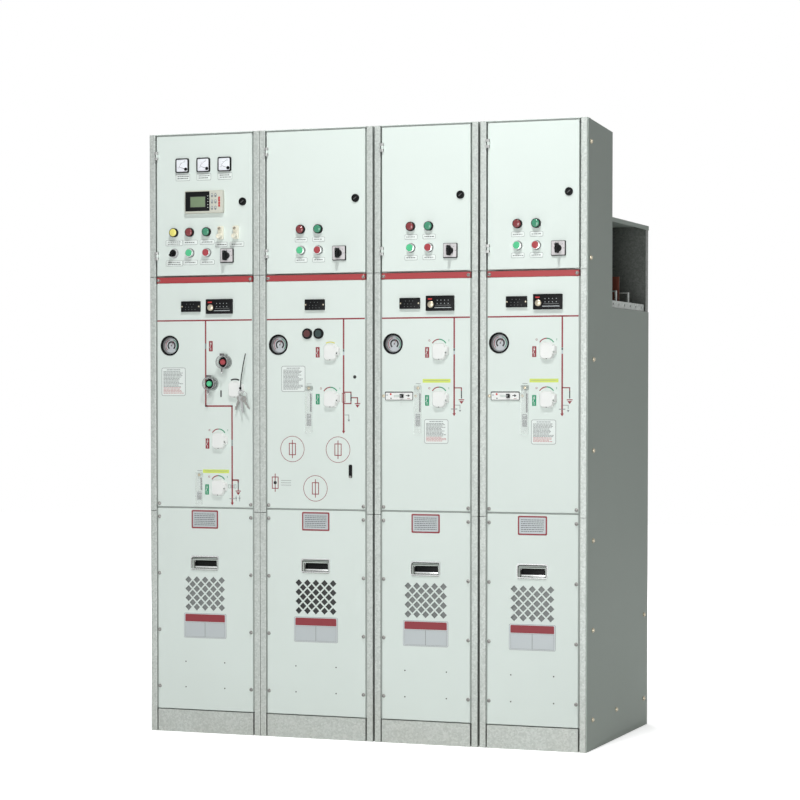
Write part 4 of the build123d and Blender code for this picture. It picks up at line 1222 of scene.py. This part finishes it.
# %% Window flaps and padlock plates
FLAPS = [(CENTRE[0] - 19.5, 860, 113)]
FLAPS += [(CENTRE[panel] - back, 1138, 163) for panel, back in ((1, 24), (2, 27), (3, 27))]
flaps = Piece("window_marks")
for x, z, tall in FLAPS:
    top = z + tall / 2
    film(flaps, box_shape(x + 6, top - tall * 0.36, 6, tall * 0.40, 2.5), ink_grey, 0.3)
    film(flaps, box_shape(x + 6, top - tall * 0.36, 4.4, tall * 0.38, 2), ink_black, 0.5)
    film(flaps, box_shape(x - 4, top - tall * 0.30, 4, tall * 0.16, 1.5), label_white, 0.5)
    film(flaps, box_shape(x - 1, top - tall * 0.72, 17, tall * 0.26, 3), ink_grey, 0.2)
    film(flaps, line_shape((x - 7, top - tall * 0.62), (x + 5, top - tall * 0.62), 1.4), label_white, 0.5)
    film(flaps, line_shape((x - 7, top - tall * 0.70), (x + 5, top - tall * 0.70), 1.4), label_white, 0.5)
    flaps.turned(x + 2, top - 8.5, [(5.2, 7.9), (5.2, 9.4), (4.4, 10.6), (1.5, 11)], screw_brass, 20)
    film(flaps, line_shape((x - 9, top + 6), (x + 9, top + 6), 1.6), ink_grey)
flaps.done(ROOT)
padlocks = Piece("padlock_plate_marks")
PADLOCK_Z = 1184
PLATE_FACE = 4.02
for panel in (2, 3):
    x = CENTRE[panel] - 95
    z = PADLOCK_Z
    # The black frame is print; the inner line sits lower, so its thicker top edge is painted shadow.
    outer = box_shape(x, z, 101.6, 29.6, 3)
    inner = box_shape(x, z - 0.8, 97, 24.2, 2)
    padlocks.ring(outer, inner, PLATE_FACE, 4.3, ink_black, 0)
    padlocks.slab(round_shape(x - 30, z + 6, 3.4, 20), PLATE_FACE, 4.6, red_moulding, 0.1)
    tip = [(x + 32, z - 4), (x + 40, z + 1), (x + 32, z + 6)]
    marks = (
        (round_shape(x - 29, z - 8, 2.2, 16), 4.3, ink_black),
        (round_shape(x - 43, z + 3, 3, 16), 4.3, label_grey),
        (line_shape((x + 25, z + 1), (x + 37, z + 1), 2.6), 4.3, ink_black),
        (poly_shape(tip), 4.32, ink_black),
        (line_shape((x + 30, z - 9), (x + 40, z - 9), 1.4), 4.3, ink_red),
    )
    for shape, high_y, finish in marks:
        padlocks.flat(shape, PLATE_FACE, high_y, finish)
    for offset in (-57, 59):
        padlocks.turned(x + offset, z, [(5.4, 0), (5.4, 1), (4.6, 2.6), (2, 3.6)], screw_brass, 20)
padlocks.done(ROOT)
for panel in (2, 3):
    x = CENTRE[panel] - 84.5
    z = PADLOCK_Z
    bolt = Piece(f"padlock_bolt_{panel + 1}")
    bolt.slab(box_shape(x, z, 12.4, 5.3), 0.3, 4.4, black_moulding)
    bolt.slab(box_shape(x, z, 12.4, 13, 1.2), 4.3, 10, black_moulding, 0.8)
    bolt.turned(x, z, [(2.2, 9.5), (2.2, 21), (1.7, 22)], satin_steel, 16)
    bolt.done(f"padlock_slider_{panel + 1}_body", replaces=(f"padlock_slider_{panel + 1}",))
print("flaps:", len(FLAPS))

# %% [markdown]
# The operating caps turn, so what is on them turns too: a small screw in the lower slope and a fine ridge
# round the flat top. A tie through the breaker cap's padlock hole carries the panel's keys.

# %% Caps and keys
CAPS = {
    "1a": (CENTRE[0] + 118.5, 1207), "1b": (CENTRE[0] + 56, 1028), "1c": (CENTRE[0] + 54, 865),
    "2a": (CENTRE[1] + 57, 1334), "2b": (CENTRE[1] + 57, 1173),
    "3a": (CENTRE[2] + 50, 1334), "3b": (CENTRE[2] + 50, 1173),
    "4a": (CENTRE[3] + 50, 1334), "4b": (CENTRE[3] + 50, 1173),
}
for name, (x, z) in CAPS.items():
    cap = Piece(f"cap_fittings_{name}")
    cap.turned(x, z - 25.6, [(2.2, 4), (2.2, 10.6), (1.6, 11.2)], dark_steel, 16)
    outer = box_shape(x, z, 36, 44, 9)
    inner = box_shape(x, z, 34, 42, 8)
    cap.ring(outer, inner, 12.9, 13.5, white_moulding, 0.25)
    cap.done(f"operating_cap_{name}_body")
tie_x, tie_z = CAPS["1a"][0] + 26, CAPS["1a"][1] - 4
keys = Piece("key_bunch")
tie = [(0, 0, 6), (1, 2, 14), (2, 6, 21), (5, 18, 26), (10, 50, 29), (18, 90, 31), (27, 128, 32)]
for width in (-1.1, 0, 1.1):
    keys.tube([(tie_x + dx + width, FRONT - out, tie_z + dz) for dx, dz, out in tie], 0.8, black_moulding, 6)
keys.slab(box_shape(tie_x + 2.5, tie_z + 8, 6, 7, 1.5), 19.5, 25.5, black_moulding, 0.6)
for centre_x, centre_z, radius, tip in ((4, -9, 11, 0.35), (10, -14, 13, -0.4)):
    ring_points = []
    for x, z in round_shape(0, 0, radius, 28)():
        ring_points.append((tie_x + centre_x + x, FRONT - 20 - tip * x, tie_z + centre_z + z))
    keys.tube(ring_points, 1.1, satin_steel, 8, looped=True)


def key(x, z, lean, proud, length, finish):
    along = Vector((math.sin(math.radians(lean)), -math.cos(math.radians(lean))))
    side = Vector((-along.y, along.x))
    start = Vector((x, z))
    bow = start + along * 9
    rim, hole = (round_shape(bow.x, bow.y, radius, 20) for radius in (11, 4.2))
    keys.ring(rim, hole, proud, proud + 2.2, finish, 0.5)
    blade = [(17, 4), (length, 4), (length + 3, 0.5)]
    blade += [(length - 4, -1.2), (length - 9, -3.6), (length - 13, -1), (length - 18, -3.6), (17, -4)]
    edge = [bow + along * (reach - 9) + side * half for reach, half in blade]
    keys.flat(poly_shape([(point.x, point.y) for point in edge]), proud, proud + 2, finish)


key(tie_x + 2, tie_z - 18, -24, 16.5, 52, screw_steel)
key(tie_x + 6, tie_z - 20, 4, 20, 56, satin_steel)
key(tie_x + 12, tie_z - 22, 30, 23.5, 48, screw_steel)
keys.done("operating_cap_1a_body")
print("caps:", len(CAPS), "and a bunch of keys")
